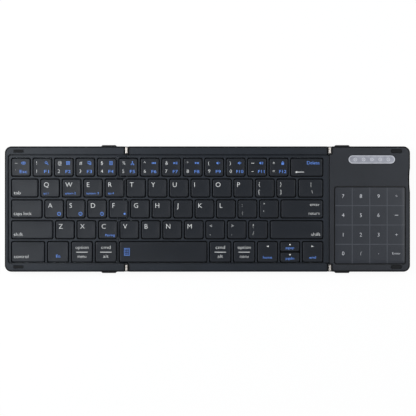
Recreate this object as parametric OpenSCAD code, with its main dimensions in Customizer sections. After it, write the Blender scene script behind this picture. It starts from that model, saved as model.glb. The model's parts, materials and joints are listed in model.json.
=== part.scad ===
// Tri-fold pocket keyboard, laid open: a middle panel and two wings that fold up and over
// onto it. The left wing and the middle hold 64 keys, and the right wing a touch pad.
// Millimetres, +X along the keyboard, +Y to its rear edge, +Z up from the table.

/* [Panels] */
// Left wing, from its outer edge to its hinge axis
left_wing_w = 91.65; // [89:0.05:92]
// Middle panel, from hinge axis to hinge axis
centre_w = 152.9; // [152.9:0.1:156]
// Right wing, from its hinge axis to its outer edge
right_wing_w = 60.5; // [59:0.1:60.8]
// Depth of the case, front to rear
case_d = 94.4; // [92:0.1:98]
// Radius of the four outer corners
corner_r = 5; // [2:0.5:7]
// Gap between two panels along a seam
seam_gap = 0.2; // [0.15:0.05:0.4]
// Gap between two panels that lie folded on each other
fold_gap = 0.4; // [0.35:0.05:0.8]

/* [Shells] */
// Thickness of the outer walls
wall_t = 1.5; // [1.2:0.1:1.8]
// Thickness of the shell walls along a seam
seam_wall_t = 0.8; // [0.5:0.05:0.9]
// Thickness of a lower shell's thin upper wall, which stands round its top
tub_t = 1; // [0.6:0.05:1.05]
// Height of the lower shells' upper walls, above the table
tub_z = 7.6; // [7:0.1:7.7]
// Thickness of the shell floors
floor_t = 1; // [0.8:0.1:1.2]
// Height of the line where tops meet lower shells, above the table
split_z = 4; // [3.8:0.05:4.05]
// Height of the key deck, above the table
deck_z = 6.5; // [6.2:0.1:6.6]
// Thickness of the key deck
deck_t = 1.5; // [1.2:0.1:1.7]
// Height of the raised rims, above the table
rim_z = 8; // [7.8:0.1:8.6]
// Thickness of a rim's top skin and of the right cover
skin_t = 1.2; // [1:0.1:1.3]
// Width of the raised rim on the left wing's outer side
side_rim_w = 2.2; // [1.8:0.1:2.8]
// Width of the raised front and rear rims
rim_w = 5.9; // [5.5:0.1:6.2]
// Thickness of the inner walls and ribs behind the rims
rim_wall_t = 0.6; // [0.5:0.05:0.8]
// Clearance of pieces that are glued or clipped into a pocket
insert_gap = 0.1; // [0.05:0.01:0.15]
// Corner radius of the sunk key deck
deck_corner_r = 2.4; // [1:0.1:4]
// Width of the groove round the key deck, at the foot of the rims
groove_w = 0.9; // [0.6:0.1:1.2]
// Depth of the groove round the key deck
groove_h = 0.8; // [0.4:0.1:0.9]

/* [Keys] */
// Length of a row of keys, in key pitches
row_u = 14.623; // [14.5:0.001:14.8]
// Depth of the last row, in row pitches
last_row_u = 1.13; // [1:0.001:1.15]
// Distance from the left edge to the first key cell
key_side_border = 4; // [3.4:0.1:4.2]
// Distance from the last key cell to the right hinge axis
key_end_border = 4.1; // [4:0.1:6]
// Distance from the rear edge to the first row
key_rear_border = 7.85; // [7.2:0.05:8]
// Distance from the front edge to the last row
key_front_border = 6; // [5.9:0.05:6.6]
// Width of the deck's web between two keys
web_w = 1.2; // [1:0.05:1.4]
// Gap between a key and the deck
cap_gap = 0.6; // [0.45:0.05:0.7]
// Corner radius of a keycap
cap_r = 1.3; // [0.8:0.1:2]
// Height of the keycap tops, above the table
cap_z = 7.3; // [7:0.1:7.6]
// Height of a keycap
cap_h = 1.8; // [1.6:0.1:1.9]
// Thickness of a keycap's top
cap_top_t = 0.9; // [0.7:0.1:1]
// Thickness of a keycap's skirt
cap_wall_t = 1; // [0.8:0.1:1.2]
// Gap between the up and down arrow keys
half_key_gap = 0.8; // [0.6:0.1:1.2]
// Tab key, in key pitches
tab_u = 1.36; // [1.25:0.01:1.4]
// Caps lock key, in key pitches
caps_lock_u = 1.55; // [1.5:0.01:1.6]
// Left shift key, in key pitches
left_shift_u = 2.05; // [2:0.01:2.1]
// Control key, in key pitches
control_u = 1.67; // [1.6:0.01:1.7]
// Function, option and command keys, in key pitches
modifier_u = 1.115; // [1.08:0.005:1.12]
// Space bar, in key pitches
space_u = 4.21; // [4:0.01:4.3]
// Left arrow key, in key pitches
arrow_left_u = 1.055; // [1:0.01:1.1]
// Up and down arrow keys, in key pitches
arrow_up_u = 1.035; // [1:0.01:1.1]

/* [Key switches] */
// Thickness of the steel plate under the keys
plate_t = 0.5; // [0.4:0.05:0.6]
// Thickness of the sensing membrane
membrane_t = 0.3; // [0.2:0.05:0.4]
// Clearance of the inner sheets and boards to the walls
board_gap = 0.3; // [0.2:0.05:0.5]
// Radius of a rubber dome's foot
dome_r = 3; // [2.8:0.1:3.1]
// Radius of a rubber dome's head
dome_head_r = 1.5; // [1.3:0.1:1.7]
// Height of a rubber dome's head
dome_head_h = 1.2; // [1:0.1:1.4]
// Wall of a rubber dome
dome_wall_t = 0.6; // [0.4:0.05:0.7]
// Thickness of a rubber dome's flange
flange_t = 0.3; // [0.2:0.05:0.4]
// Length of a scissor link
link_l = 10.6; // [10:0.1:10.8]
// Width of a scissor link's side bars
link_bar_w = 0.8; // [0.6:0.05:0.85]
// Thickness of a scissor link
link_t = 0.6; // [0.5:0.05:0.7]
// Rise of a scissor link, from end to end
link_rise = 2.4; // [2:0.1:2.5]
// Clearance of a scissor link to its keycap and its neighbour
link_gap = 0.1; // [0.05:0.05:0.15]
// Width of the side bars under a half-depth key
half_bar_w = 0.6; // [0.5:0.05:0.65]
// Rise of a scissor link under a half-depth key
half_link_rise = 1.9; // [1.6:0.1:2]

/* [Hinges] */
// Radius of a hinge barrel
barrel_r = 1.6; // [1.4:0.05:1.7]
// Length of a hinge barrel
barrel_l = 5.1; // [4.8:0.1:5.2]
// Distance from the case edge to the barrel
barrel_inset = 0.9; // [0.7:0.1:1]
// Gap between a barrel's two knuckles
knuckle_gap = 0.2; // [0.15:0.05:0.3]
// Radius of a hinge pin
pin_r = 0.7; // [0.6:0.05:0.8]
// Radial running clearance of a hinge pin
pin_fit = 0.03; // [0.02:0.01:0.06]
// Clearance between a barrel and its notch in the rims
notch_gap = 0.3; // [0.25:0.05:0.35]
// Clearance of a hinge leaf to the shells round it
leaf_gap = 0.3; // [0.2:0.05:0.4]
// Clearance of a leaf's slot through the rim
slot_gap = 0.2; // [0.15:0.05:0.3]
// Reach of a hinge leaf into its panel
leaf_l = 10; // [9:0.5:11]
// Thickness of a hinge leaf
leaf_t = 0.9; // [0.8:0.05:1]
// Width of a hinge leaf
leaf_w = 3.4; // [3:0.1:3.4]

/* [Touch pad] */
// Width of the touch pad
pad_w = 53.1; // [48:0.1:53.4]
// Depth of the touch pad
pad_d = 58; // [52:0.1:58.2]
// Distance from the right hinge axis to the touch pad
pad_side = 3.7; // [3.4:0.1:4.2]
// Distance from the front edge to the touch pad
pad_front = 5.9; // [5.8:0.1:7.5]
// Corner radius of the touch pad
pad_r = 1.5; // [1:0.1:3]
// Gap around the touch pad
pad_gap = 0.5; // [0.3:0.05:0.55]
// Thickness of the touch pad's face
pad_t = 1; // [0.8:0.05:1]
// Overlap of the touch pad's board behind the cover
pad_lip = 0.7; // [0.6:0.05:0.8]
// Thickness of the touch pad's board
pad_board_t = 1; // [0.8:0.05:1.1]

/* [Status window] */
// Length of the status window
window_l = 35.2; // [30:0.1:38]
// Width of the status window
window_w = 6.4; // [5.5:0.1:7]
// Thickness of the status window
window_t = 0.8; // [0.6:0.05:0.9]
// Distance from the right hinge axis to the window's middle
window_x = 31.7; // [30:0.1:33]
// Distance from the rear edge to the window's middle
window_y = 9.9; // [9.5:0.1:11]
// Number of status lights
light_count = 5; // [3:1:6]
// Pitch of the status lights
light_pitch = 6.2; // [5.5:0.1:6.4]
// Radius of a light hole
light_r = 0.8; // [0.5:0.1:1]

/* [Electronics] */
// Thickness of the main board
main_board_t = 1; // [0.8:0.05:1]
// Depth of the main board
main_board_d = 21; // [19:0.5:21.5]
// Width of the battery
battery_w = 46; // [40:0.5:48]
// Depth of the battery
battery_d = 50; // [44:0.5:52]
// Thickness of the battery
battery_t = 3; // [2.4:0.1:3.4]
// Outer width of the charging socket
socket_w = 8.94; // [8.8:0.01:9]
// Outer height of the charging socket
socket_h = 3.2; // [3.1:0.01:3.26]
// Depth of the charging socket
socket_d = 7.3; // [6.8:0.1:8]
// Metal thickness of the charging socket
socket_t = 0.3; // [0.25:0.01:0.35]
// Distance from the right hinge axis to the charging socket
socket_x = 28; // [27:0.5:30]
// Clearance around the charging socket in the wall
socket_gap = 0.2; // [0.15:0.05:0.3]
// Width of the tongue in the charging socket
tongue_w = 6.7; // [6.4:0.1:6.8]
// Thickness of the tongue in the charging socket
tongue_t = 0.7; // [0.6:0.05:0.8]
// Side of the main chip
chip_w = 7; // [5:0.5:9]
// Side of the radio chip
radio_w = 5; // [4:0.5:6]
// Height of the chips
chip_h = 0.9; // [0.7:0.1:1.2]
// Side of a status light
led_w = 1.6; // [1:0.1:2]
// Distance from the board's edges to its chips
chip_inset = 6; // [4:0.5:8]
// Distance from the rear edge to the power switch
switch_y = 24.2; // [22:0.1:26]
// Width of the power switch knob
switch_w = 2.6; // [2.2:0.1:3]
// Travel of the power switch
switch_travel = 2; // [1.5:0.1:2.5]
// Height of the power switch knob
switch_h = 1.6; // [1.2:0.1:1.8]
// Clearance of the power switch in its slot
switch_gap = 0.2; // [0.15:0.05:0.25]
// Thickness of the power switch's slider, inside the wall
slider_t = 1.2; // [1:0.1:1.4]
// How far the power switch knob stands out of the finger scoop
knob_out = 0.3; // [0.2:0.05:0.4]
// Length of the finger scoop beside the power switch
scoop_l = 18.8; // [14:0.2:20]
// Depth of the finger scoop
scoop_t = 0.5; // [0.4:0.05:0.8]

/* [Feet, pads and screws] */
// Height of the rubber feet
foot_h = 0.6; // [0.5:0.05:0.8]
// Width of a wing's rubber foot strip
strip_w = 11.8; // [10:0.1:13]
// Distance from the left hinge axis to its foot strip
strip_x = 7.6; // [7.3:0.1:8]
// Distance from the right hinge axis to its foot strip
right_strip_x = 3.8; // [3:0.1:4]
// How far a strip's end lugs stand out from the case
lug_out = 1.1; // [0.8:0.1:1.4]
// Height of the end lugs, above the table
lug_h = 3.6; // [3:0.1:3.8]
// Chamfer of an end lug
lug_chamfer = 0.9; // [0.5:0.1:1]
// Radius of the middle panel's round feet
round_foot_r = 4; // [3:0.1:5]
// Distance from the middle panel's edges to its round feet
round_foot_inset = 14; // [12:0.5:20]
// Length of a left bumper pad
left_pad_l = 7.2; // [6:0.1:8]
// Width of a left bumper pad
left_pad_w = 1.9; // [1.6:0.1:2.2]
// Length of a right bumper pad
right_pad_l = 8.3; // [7:0.1:9]
// Width of a right bumper pad
right_pad_w = 2.6; // [2:0.1:2.8]
// Distance from the outer edge to a bumper pad's middle
bumper_x = 10.3; // [9.5:0.1:11]
// Distance from the front and rear edges to a bumper pad's middle
bumper_y = 3.6; // [3.2:0.1:3.8]
// Depth of the pockets that hold the bumper pads
bumper_sink = 0.5; // [0.3:0.05:0.6]
// How far a bumper pad stands above its rim
bumper_rise = 0.3; // [0.2:0.05:0.3]
// Radius of a screw's head
screw_head_r = 1.5; // [1.2:0.1:1.6]
// Height of a screw's head
screw_head_h = 0.7; // [0.6:0.05:0.75]
// Radius of a screw's shank
screw_r = 0.8; // [0.6:0.05:0.9]
// Distance from the front and rear edges to the screws
screw_y = 3.3; // [3.2:0.05:3.4]
// Radius of a screw boss
boss_r = 1.6; // [1.5:0.05:1.65]
// Height of a screw's pedestal on the shell floor
pedestal_h = 1; // [0.8:0.1:1.2]
// Distance from a hinge axis to the middle panel's screws
centre_screw_x = 21; // [18:0.5:28]
// Distance from the left hinge axis to the left wing's inner screws
left_inner_screw_x = 26; // [22:0.5:28]
// Distance from the right hinge axis to the right wing's inner screws
right_inner_screw_x = 19.5; // [18:0.5:20.5]
// Distance from the left edge to the left wing's outer screws
left_screw_x = 17; // [15:0.5:22]
// Distance from the right edge to the right wing's outer screws
right_screw_x = 6.5; // [6:0.1:7]
// Clearance round a screw's head
head_gap = 0.1; // [0.05:0.05:0.15]

/* [Hidden] */
$fn = 48;
eps = 0.01;

// Panels
unfolded_w = left_wing_w + centre_w + right_wing_w;
left_edge = -unfolded_w / 2;
right_edge = unfolded_w / 2;
left_axis = left_edge + left_wing_w;
right_axis = right_edge - right_wing_w;
rear_edge = case_d / 2;
axis_z = rim_z + fold_gap / 2;
floor_z = foot_h + floor_t;
deck_bottom = deck_z - deck_t;
skin_z = rim_z - skin_t;

// Key cells: each row's last key takes what is left of the row
field_x0 = left_edge + key_side_border;
field_x1 = right_axis - key_end_border;
field_y1 = rear_edge - key_rear_border;
field_y0 = -rear_edge + key_front_border;
function ones(count) = [for (i = [1:count]) 1];
ROW_UNITS = [
    ones(13),
    concat([tab_u], ones(12)),
    concat([caps_lock_u], ones(11)),
    concat([left_shift_u], ones(10)),
    [control_u, modifier_u, modifier_u, modifier_u, space_u, modifier_u, modifier_u,
     arrow_left_u, arrow_up_u]
];
LEFT_KEYS = [5, 5, 5, 4, 4];
UP_DOWN = [4, 8];
ROWS = len(ROW_UNITS);

// Rounds a derived size to the drawing's hundredth of a millimetre
function drawn(size) = round(size * 100) / 100;
key_pitch = drawn((field_x1 - field_x0) / row_u);
row_pitch = drawn((field_y1 - field_y0) / (ROWS - 1 + last_row_u));
function sum(list, count) = count <= 0 ? 0 : list[count - 1] + sum(list, count - 1);
function last_key(row) = len(ROW_UNITS[row]);
function cell_x0(row, i) = field_x0 + key_pitch * sum(ROW_UNITS[row], i);
function cell_x1(row, i) = i < last_key(row) ? cell_x0(row, i + 1) : field_x1;
function row_y(row) = row < ROWS ? field_y1 - row * row_pitch : field_y0;
function is_half(row, i) = row == UP_DOWN[0] && i == UP_DOWN[1];

// Switch stack
plate_top = floor_z + plate_t;
membrane_top = plate_top + membrane_t;
cap_bottom = cap_z - cap_h;
pocket_top = cap_z - cap_top_t;
cap_inset = web_w / 2 + cap_gap;

// Zigzag seam between the left wing and the middle panel
seam_x = concat([left_axis], [for (r = [0:ROWS - 1]) cell_x0(r, LEFT_KEYS[r])], [left_axis]);
function seam_points(shift) = [
    for (i = [0:len(seam_x) - 1])
        for (end = [0, 1])
            let (k = i + end,
                 outer = k == 0 || k == len(seam_x),
                 side = outer ? 0 : sign(seam_x[k - 1] - seam_x[k]),
                 y = k == 0 ? case_d : k == len(seam_x) ? -case_d : row_y(k - 1))
                [seam_x[i] + shift, y - shift * side]
];

// Hinges
barrel_y1 = rear_edge - barrel_inset;
barrel_y0 = barrel_y1 - barrel_l;
knuckle_l = (barrel_l - knuckle_gap) / 2;
notch_w = barrel_r + notch_gap;
notch_y0 = barrel_y0 - knuckle_gap;
leaf_z = split_z + leaf_gap;
leaf_y1 = rear_edge - wall_t - leaf_gap;
leaf_y0 = leaf_y1 - leaf_w;
leaf_seat_x = notch_w + seam_wall_t + rim_wall_t + leaf_gap;
leaf_seat_l = leaf_l - leaf_seat_x - leaf_gap;
neck_x = seam_gap;

// Touch pad, window and electronics
pad_x = right_axis + pad_side + pad_w / 2;
pad_y = -rear_edge + pad_front + pad_d / 2;
window_cx = right_axis + window_x;
window_cy = rear_edge - window_y;
board_x0 = right_axis + seam_gap / 2 + seam_wall_t + board_gap;
board_x1 = right_edge - wall_t - board_gap;
board_y1 = rear_edge - screw_y - boss_r - board_gap;
board_y0 = board_y1 - main_board_d;
board_top = floor_z + main_board_t;
socket_cx = right_axis + socket_x;
socket_cz = board_top + socket_h / 2;
switch_cy = rear_edge - switch_y;
switch_z = split_z - switch_h / 2;
scoop_r = (scoop_l * scoop_l / 4 + scoop_t * scoop_t) / (2 * scoop_t);

// Screws
CENTRE_SCREWS = [left_axis + centre_screw_x, (left_axis + right_axis) / 2,
                 right_axis - centre_screw_x];
LEFT_SCREWS = [left_edge + left_screw_x, left_axis - left_inner_screw_x];
RIGHT_SCREWS = [right_axis + right_inner_screw_x, right_edge - right_screw_x];
boss_foot_z = floor_z + pedestal_h;
screw_line = rear_edge - screw_y;
screw_top = skin_z - rim_wall_t;

module rounded_rect(w, d, r) {
    square([w - 2 * r, d], center = true);
    square([w, d - 2 * r], center = true);
    for (x = [-1, 1], y = [-1, 1])
        translate([x * (w / 2 - r), y * (d / 2 - r)]) circle(r);
}

module pill(l, w) {
    square([l - w, w], center = true);
    for (x = [-1, 1]) translate([x * (l - w) / 2, 0]) circle(w / 2);
}

module both_ends() {
    children();
    mirror([0, 1, 0]) children();
}

// Plans of the three panels, drawn in by an inset from the case edge and one from the seam
module case_plan(inset) {
    rounded_rect(unfolded_w - 2 * inset, case_d - 2 * inset, max(corner_r - inset, 0.5));
}

module left_plan(inset = 0, seam_inset = 0) {
    intersection() {
        case_plan(inset);
        polygon(concat([[2 * left_edge, case_d]], seam_points(-seam_gap / 2 - seam_inset),
                       [[2 * left_edge, -case_d]]));
    }
}

module centre_plan(inset = 0, seam_inset = 0) {
    x1 = right_axis - seam_gap / 2 - seam_inset;
    intersection() {
        square([2 * unfolded_w, case_d - 2 * inset], center = true);
        polygon(concat([[x1, case_d]], seam_points(seam_gap / 2 + seam_inset),
                       [[x1, -case_d]]));
    }
}

module right_plan(inset = 0, seam_inset = 0) {
    x0 = right_axis + seam_gap / 2 + seam_inset;
    intersection() {
        case_plan(inset);
        translate([x0, -case_d]) square([unfolded_w, 2 * case_d]);
    }
}

module panel_plan(panel, inset = 0, seam_inset = 0) {
    if (panel == "left") left_plan(inset, seam_inset);
    if (panel == "centre") centre_plan(inset, seam_inset);
    if (panel == "right") right_plan(inset, seam_inset);
}

// Where the hinge barrels lie, and where each leaf runs into its panel
module notches(axis_x, z0) {
    both_ends()
        translate([axis_x - notch_w, notch_y0, z0])
            cube([2 * notch_w, rear_edge - notch_y0 + 1, rim_z]);
}

module leaf_slots(axis_x, side) {
    mirror_x(axis_x, side) both_ends()
        translate([0, leaf_y0 - slot_gap, split_z - eps])
            cube([notch_w + seam_wall_t + rim_wall_t, leaf_w + 2 * slot_gap,
                  leaf_z + leaf_t + slot_gap - split_z]);
}

module leaf_seats(axis_x, side, z0, z1) {
    mirror_x(axis_x, side) both_ends()
        translate([leaf_seat_x, leaf_y0 + insert_gap, z0])
            cube([leaf_seat_l, leaf_w - 2 * insert_gap, z1 - z0]);
}

module mirror_x(axis_x, side) {
    translate([axis_x, 0, 0]) scale_x(side) children();
}

module scale_x(side) {
    if (side < 0) mirror([1, 0, 0]) children();
    else children();
}

module at_screws(xs) {
    for (x = xs, y = [-screw_line, screw_line]) translate([x, y, 0]) children();
}

// A lower shell: floor, walls, screw pedestals and the seats of its hinge leaves
module base_shell(panel, screws, leaf_sides) {
    difference() {
        union() {
            difference() {
                translate([0, 0, foot_h]) linear_extrude(tub_z - foot_h) panel_plan(panel);
                translate([0, 0, split_z]) linear_extrude(rim_z) panel_plan(panel, tub_t, -1);
                translate([0, 0, floor_z]) linear_extrude(split_z)
                    panel_plan(panel, wall_t, seam_wall_t);
            }
            at_screws(screws) translate([0, 0, foot_h])
                cylinder(h = floor_t + pedestal_h, r = boss_r);
            for (leaf = leaf_sides) leaf_seats(leaf[0], leaf[1], floor_z - eps, leaf_z);
        }
        at_screws(screws) {
            translate([0, 0, foot_h - eps])
                cylinder(h = screw_head_h + head_gap + eps, r = screw_head_r + head_gap);
            cylinder(h = split_z, r = screw_r + pin_fit);
        }
        for (leaf = leaf_sides) notches(leaf[0], split_z);
    }
}

// The hollows behind a panel's front and rear rims
module rim_hollows(x0, x1) {
    both_ends()
        translate([x0, rear_edge - rim_w + rim_wall_t, split_z - eps])
            cube([x1 - x0, rim_w - wall_t - rim_wall_t, skin_z - split_z + eps]);
}

module screw_bosses(screws) {
    at_screws(screws) difference() {
        translate([0, 0, boss_foot_z]) cylinder(h = skin_z + eps - boss_foot_z, r = boss_r);
        cylinder(h = screw_top + head_gap, r = screw_r + pin_fit);
    }
}

module key_openings(from_key, to_key) {
    for (r = [0:ROWS - 1], i = [from_key[r]:to_key[r]]) {
        w = cell_x1(r, i) - cell_x0(r, i);
        d = row_y(r) - row_y(r + 1);
        translate([cell_x0(r, i) + w / 2, row_y(r + 1) + d / 2])
            rounded_rect(w - web_w, d - web_w, cap_r + cap_gap / 2);
    }
}

// A key panel's top: sunk deck with a window for each key, between raised rims
module top_frame(panel, from_key, to_key, deck_x0, hollow, screws, leaf_sides) {
    difference() {
        union() {
            difference() {
                translate([0, 0, split_z]) linear_extrude(rim_z - split_z)
                    panel_plan(panel, tub_t);
                translate([0, 0, deck_z]) linear_extrude(rim_z) sunk_deck(deck_x0);
                translate([0, 0, deck_z - groove_h]) linear_extrude(rim_z) difference() {
                    sunk_deck(deck_x0);
                    sunk_deck(deck_x0, groove_w);
                }
                translate([0, 0, split_z - eps]) linear_extrude(deck_bottom - split_z + eps)
                    intersection() {
                        panel_plan(panel, wall_t, (web_w - seam_gap) / 2);
                        square([2 * unfolded_w, case_d - 2 * (rim_w - rim_wall_t)],
                               center = true);
                    }
                rim_hollows(hollow[0], hollow[1]);
            }
            screw_bosses(screws);
            for (leaf = leaf_sides)
                leaf_seats(leaf[0], leaf[1], leaf_z + leaf_t, skin_z + eps);
        }
        translate([0, 0, split_z - 1]) linear_extrude(rim_z)
            key_openings(from_key, to_key);
        for (leaf = leaf_sides) {
            notches(leaf[0], split_z - eps);
            leaf_slots(leaf[0], leaf[1]);
        }
    }
}

module sunk_deck(x0, inset = 0) {
    w = 2 * unfolded_w;
    translate([x0 + w / 2, 0])
        rounded_rect(w - 2 * inset, case_d - 2 * (rim_w + inset), deck_corner_r - inset);
}

module centre_base_shell() {
    color("#2c3034") base_shell("centre", CENTRE_SCREWS, [[left_axis, 1], [right_axis, -1]]);
}

module centre_top_frame() {
    hollow = [left_axis + notch_w + seam_wall_t, right_axis - notch_w - seam_wall_t];
    color("#32373c")
        top_frame("centre", LEFT_KEYS, [for (r = [0:ROWS - 1]) last_key(r)],
                  -unfolded_w, hollow, CENTRE_SCREWS,
                  [[left_axis, 1], [right_axis, -1]]);
}

module left_base_shell() {
    color("#2c3034") base_shell("left", LEFT_SCREWS, [[left_axis, -1]]);
}

module left_top_frame() {
    hollow = [left_edge + corner_r, left_axis - notch_w - seam_wall_t];
    color("#3c4248") difference() {
        top_frame("left", [0, 0, 0, 0, 0], [for (n = LEFT_KEYS) n - 1],
                  left_edge + side_rim_w, hollow, LEFT_SCREWS, [[left_axis, -1]]);
        bumper_pockets(left_edge + bumper_x)
            square([left_pad_l + 2 * insert_gap, left_pad_w + 2 * insert_gap], center = true);
    }
}

module bumper_pockets(x) {
    both_ends()
        translate([x, rear_edge - bumper_y, rim_z - bumper_sink]) linear_extrude(rim_z)
            children();
}

// Steel plates, membranes, domes and scissor links of the two key panels
module field_sheet(panel, z, t, inset) {
    translate([0, 0, z]) linear_extrude(t) intersection() {
        panel_plan(panel, wall_t + inset, seam_wall_t + inset);
        translate([0, (field_y0 + field_y1) / 2])
            square([2 * unfolded_w, field_y1 - field_y0 - 2 * inset], center = true);
    }
}

module centre_switch_plate() {
    color("#8d9094") field_sheet("centre", floor_z, plate_t, board_gap);
}

module left_switch_plate() {
    color("#8d9094") field_sheet("left", floor_z, plate_t, board_gap);
}

module centre_membrane() {
    color("#c9d3cf") field_sheet("centre", plate_top, membrane_t, 2 * board_gap);
}

module left_membrane() {
    color("#c9d3cf") field_sheet("left", plate_top, membrane_t, 2 * board_gap);
}

// Puts the children at each key's middle; $cap_d is the depth of that keycap, and $half is
// true under a half-depth key
module at_keys(from_key, to_key) {
    for (r = [0:ROWS - 1], i = [from_key[r]:to_key[r]]) {
        x = (cell_x0(r, i) + cell_x1(r, i)) / 2;
        y = (row_y(r) + row_y(r + 1)) / 2;
        d = row_y(r) - row_y(r + 1) - 2 * cap_inset;
        half_d = (d - half_key_gap) / 2;
        if (is_half(r, i))
            for (side = [-1, 1]) let ($cap_d = half_d, $half = true)
                translate([x, y + side * (half_d + half_key_gap) / 2]) children();
        else let ($cap_d = d, $half = false) translate([x, y]) children();
    }
}

// Depths of the two frames of a scissor link, outer and inner, and the room between its bars
function link_outer(cap_d, half) =
    half ? cap_d - 2 * link_gap : min(link_l, cap_d - 2 * (cap_wall_t + link_gap));
function link_inner(cap_d, half) =
    link_outer(cap_d, half) - 2 * ((half ? half_bar_w : link_bar_w) + link_gap);
function link_room(cap_d, half) =
    link_inner(cap_d, half) / 2 - (half ? half_bar_w : link_bar_w);

module dome() {
    foot_r = min(dome_r, link_room($cap_d, $half) - flange_t - link_gap);
    neck_h = pocket_top - dome_head_h - membrane_top;
    translate([0, 0, membrane_top]) difference() {
        union() {
            cylinder(h = flange_t, r = foot_r + flange_t);
            cylinder(h = neck_h, r1 = foot_r, r2 = dome_head_r);
            cylinder(h = neck_h + dome_head_h, r = dome_head_r);
        }
        translate([0, 0, -eps])
            cylinder(h = neck_h - dome_wall_t, r1 = foot_r - dome_wall_t,
                     r2 = dome_head_r - dome_wall_t / 2);
    }
}

module link_frame(d, bar_w, angle) {
    rotate([0, angle, 0]) difference() {
        cube([link_l, d, link_t], center = true);
        cube([link_l - 2 * bar_w, d - 2 * bar_w, 2 * link_t], center = true);
    }
}

module scissor() {
    outer_d = link_outer($cap_d, $half);
    bar_w = $half ? half_bar_w : link_bar_w;
    rise = $half ? half_link_rise : link_rise;
    angle = asin(rise / link_l);
    translate([0, 0, membrane_top + link_t + rise / 2]) {
        link_frame(outer_d, bar_w, angle);
        link_frame(link_inner($cap_d, $half), bar_w, -angle);
        for (side = [-1, 1])
            translate([0, side * (outer_d / 2 - bar_w), 0]) rotate([90, 0, 0])
                cylinder(h = bar_w, r = link_t / 3, center = true);
    }
}

module centre_rubber_domes() {
    color("#7d8286") at_keys(LEFT_KEYS, [for (r = [0:ROWS - 1]) last_key(r)]) dome();
}

module left_rubber_domes() {
    color("#7d8286") at_keys([0, 0, 0, 0, 0], [for (n = LEFT_KEYS) n - 1]) dome();
}

module centre_scissor_links() {
    color("#d8dadb") at_keys(LEFT_KEYS, [for (r = [0:ROWS - 1]) last_key(r)]) scissor();
}

module left_scissor_links() {
    color("#d8dadb") at_keys([0, 0, 0, 0, 0], [for (n = LEFT_KEYS) n - 1]) scissor();
}

// Keycaps
module keycap(x, y, w, d) {
    translate([x, y, cap_bottom]) difference() {
        linear_extrude(cap_h) rounded_rect(w, d, cap_r);
        translate([0, 0, (cap_h - cap_top_t) / 2 - eps])
            cube([w - 2 * cap_wall_t, d - 2 * cap_wall_t, cap_h - cap_top_t + 2 * eps],
                 center = true);
    }
}

module keys(row, first, last) {
    for (i = [first:last]) {
        w = cell_x1(row, i) - cell_x0(row, i) - 2 * cap_inset;
        d = row_y(row) - row_y(row + 1) - 2 * cap_inset;
        keycap(cell_x0(row, i) + cap_inset + w / 2, (row_y(row) + row_y(row + 1)) / 2, w, d);
    }
}

module half_key(side) {
    row = UP_DOWN[0];
    i = UP_DOWN[1];
    w = cell_x1(row, i) - cell_x0(row, i) - 2 * cap_inset;
    d = (row_y(row) - row_y(row + 1) - 2 * cap_inset - half_key_gap) / 2;
    keycap(cell_x0(row, i) + cap_inset + w / 2,
           (row_y(row) + row_y(row + 1)) / 2 + side * (d + half_key_gap) / 2, w, d);
}

module number_keys_left() { color("#42474c") keys(0, 0, 4); }
module tab_key() { color("#42474c") keys(1, 0, 0); }
module letter_keys_q_to_r() { color("#42474c") keys(1, 1, 4); }
module caps_lock_key() { color("#42474c") keys(2, 0, 0); }
module letter_keys_a_to_f() { color("#42474c") keys(2, 1, 4); }
module left_shift_key() { color("#3e4348") keys(3, 0, 0); }
module letter_keys_z_to_c() { color("#3e4348") keys(3, 1, 3); }
module control_key() { color("#3a3f44") keys(4, 0, 0); }
module function_key() { color("#3a3f44") keys(4, 1, 1); }
module left_option_key() { color("#3a3f44") keys(4, 2, 2); }
module left_command_key() { color("#3a3f44") keys(4, 3, 3); }
module number_keys_centre() { color("#2b2f33") keys(0, 5, 12); }
module delete_key() { color("#2b2f33") keys(0, 13, 13); }
module letter_keys_t_to_bracket() { color("#2b2f33") keys(1, 5, 12); }
module backslash_key() { color("#2b2f33") keys(1, 13, 13); }
module letter_keys_g_to_quote() { color("#2b2f33") keys(2, 5, 11); }
module enter_key() { color("#2b2f33") keys(2, 12, 12); }
module letter_keys_v_to_slash() { color("#2b2f33") keys(3, 4, 10); }
module right_shift_key() { color("#2b2f33") keys(3, 11, 11); }
module space_bar() { color("#2b2f33") keys(4, 4, 4); }
module right_modifier_keys() { color("#2b2f33") keys(4, 5, 6); }
module left_arrow_key() { color("#2b2f33") keys(4, 7, 7); }
module up_arrow_key() { color("#2b2f33") half_key(1); }
module down_arrow_key() { color("#2b2f33") half_key(-1); }
module right_arrow_key() { color("#2b2f33") keys(4, 9, 9); }

// Right wing: cuts through its walls; inset draws the finger scoop in to the cover's edge
module wall_cutouts(inset = 0) {
    translate([socket_cx, rear_edge - wall_t - 0.5, socket_cz]) rotate([-90, 0, 0])
        linear_extrude(wall_t + 1) socket_outline(socket_gap);
    translate([right_edge - wall_t - 0.5,
               switch_cy - switch_w / 2 - switch_gap - switch_travel, switch_z - switch_gap])
        cube([wall_t + 1, switch_w + 2 * switch_gap + switch_travel,
              switch_h + 2 * switch_gap]);
    translate([right_edge - inset - scoop_t + scoop_r, switch_cy - switch_travel / 2, 0])
        cylinder(h = rim_z + 1, r = scoop_r, $fn = 200);
}

module socket_outline(grow) {
    w = socket_w + 2 * grow;
    h = socket_h + 2 * grow;
    pill(w, h);
}

module right_base_shell() {
    color("#383d42") difference() {
        base_shell("right", RIGHT_SCREWS, [[right_axis, 1]]);
        wall_cutouts();
    }
}

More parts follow.
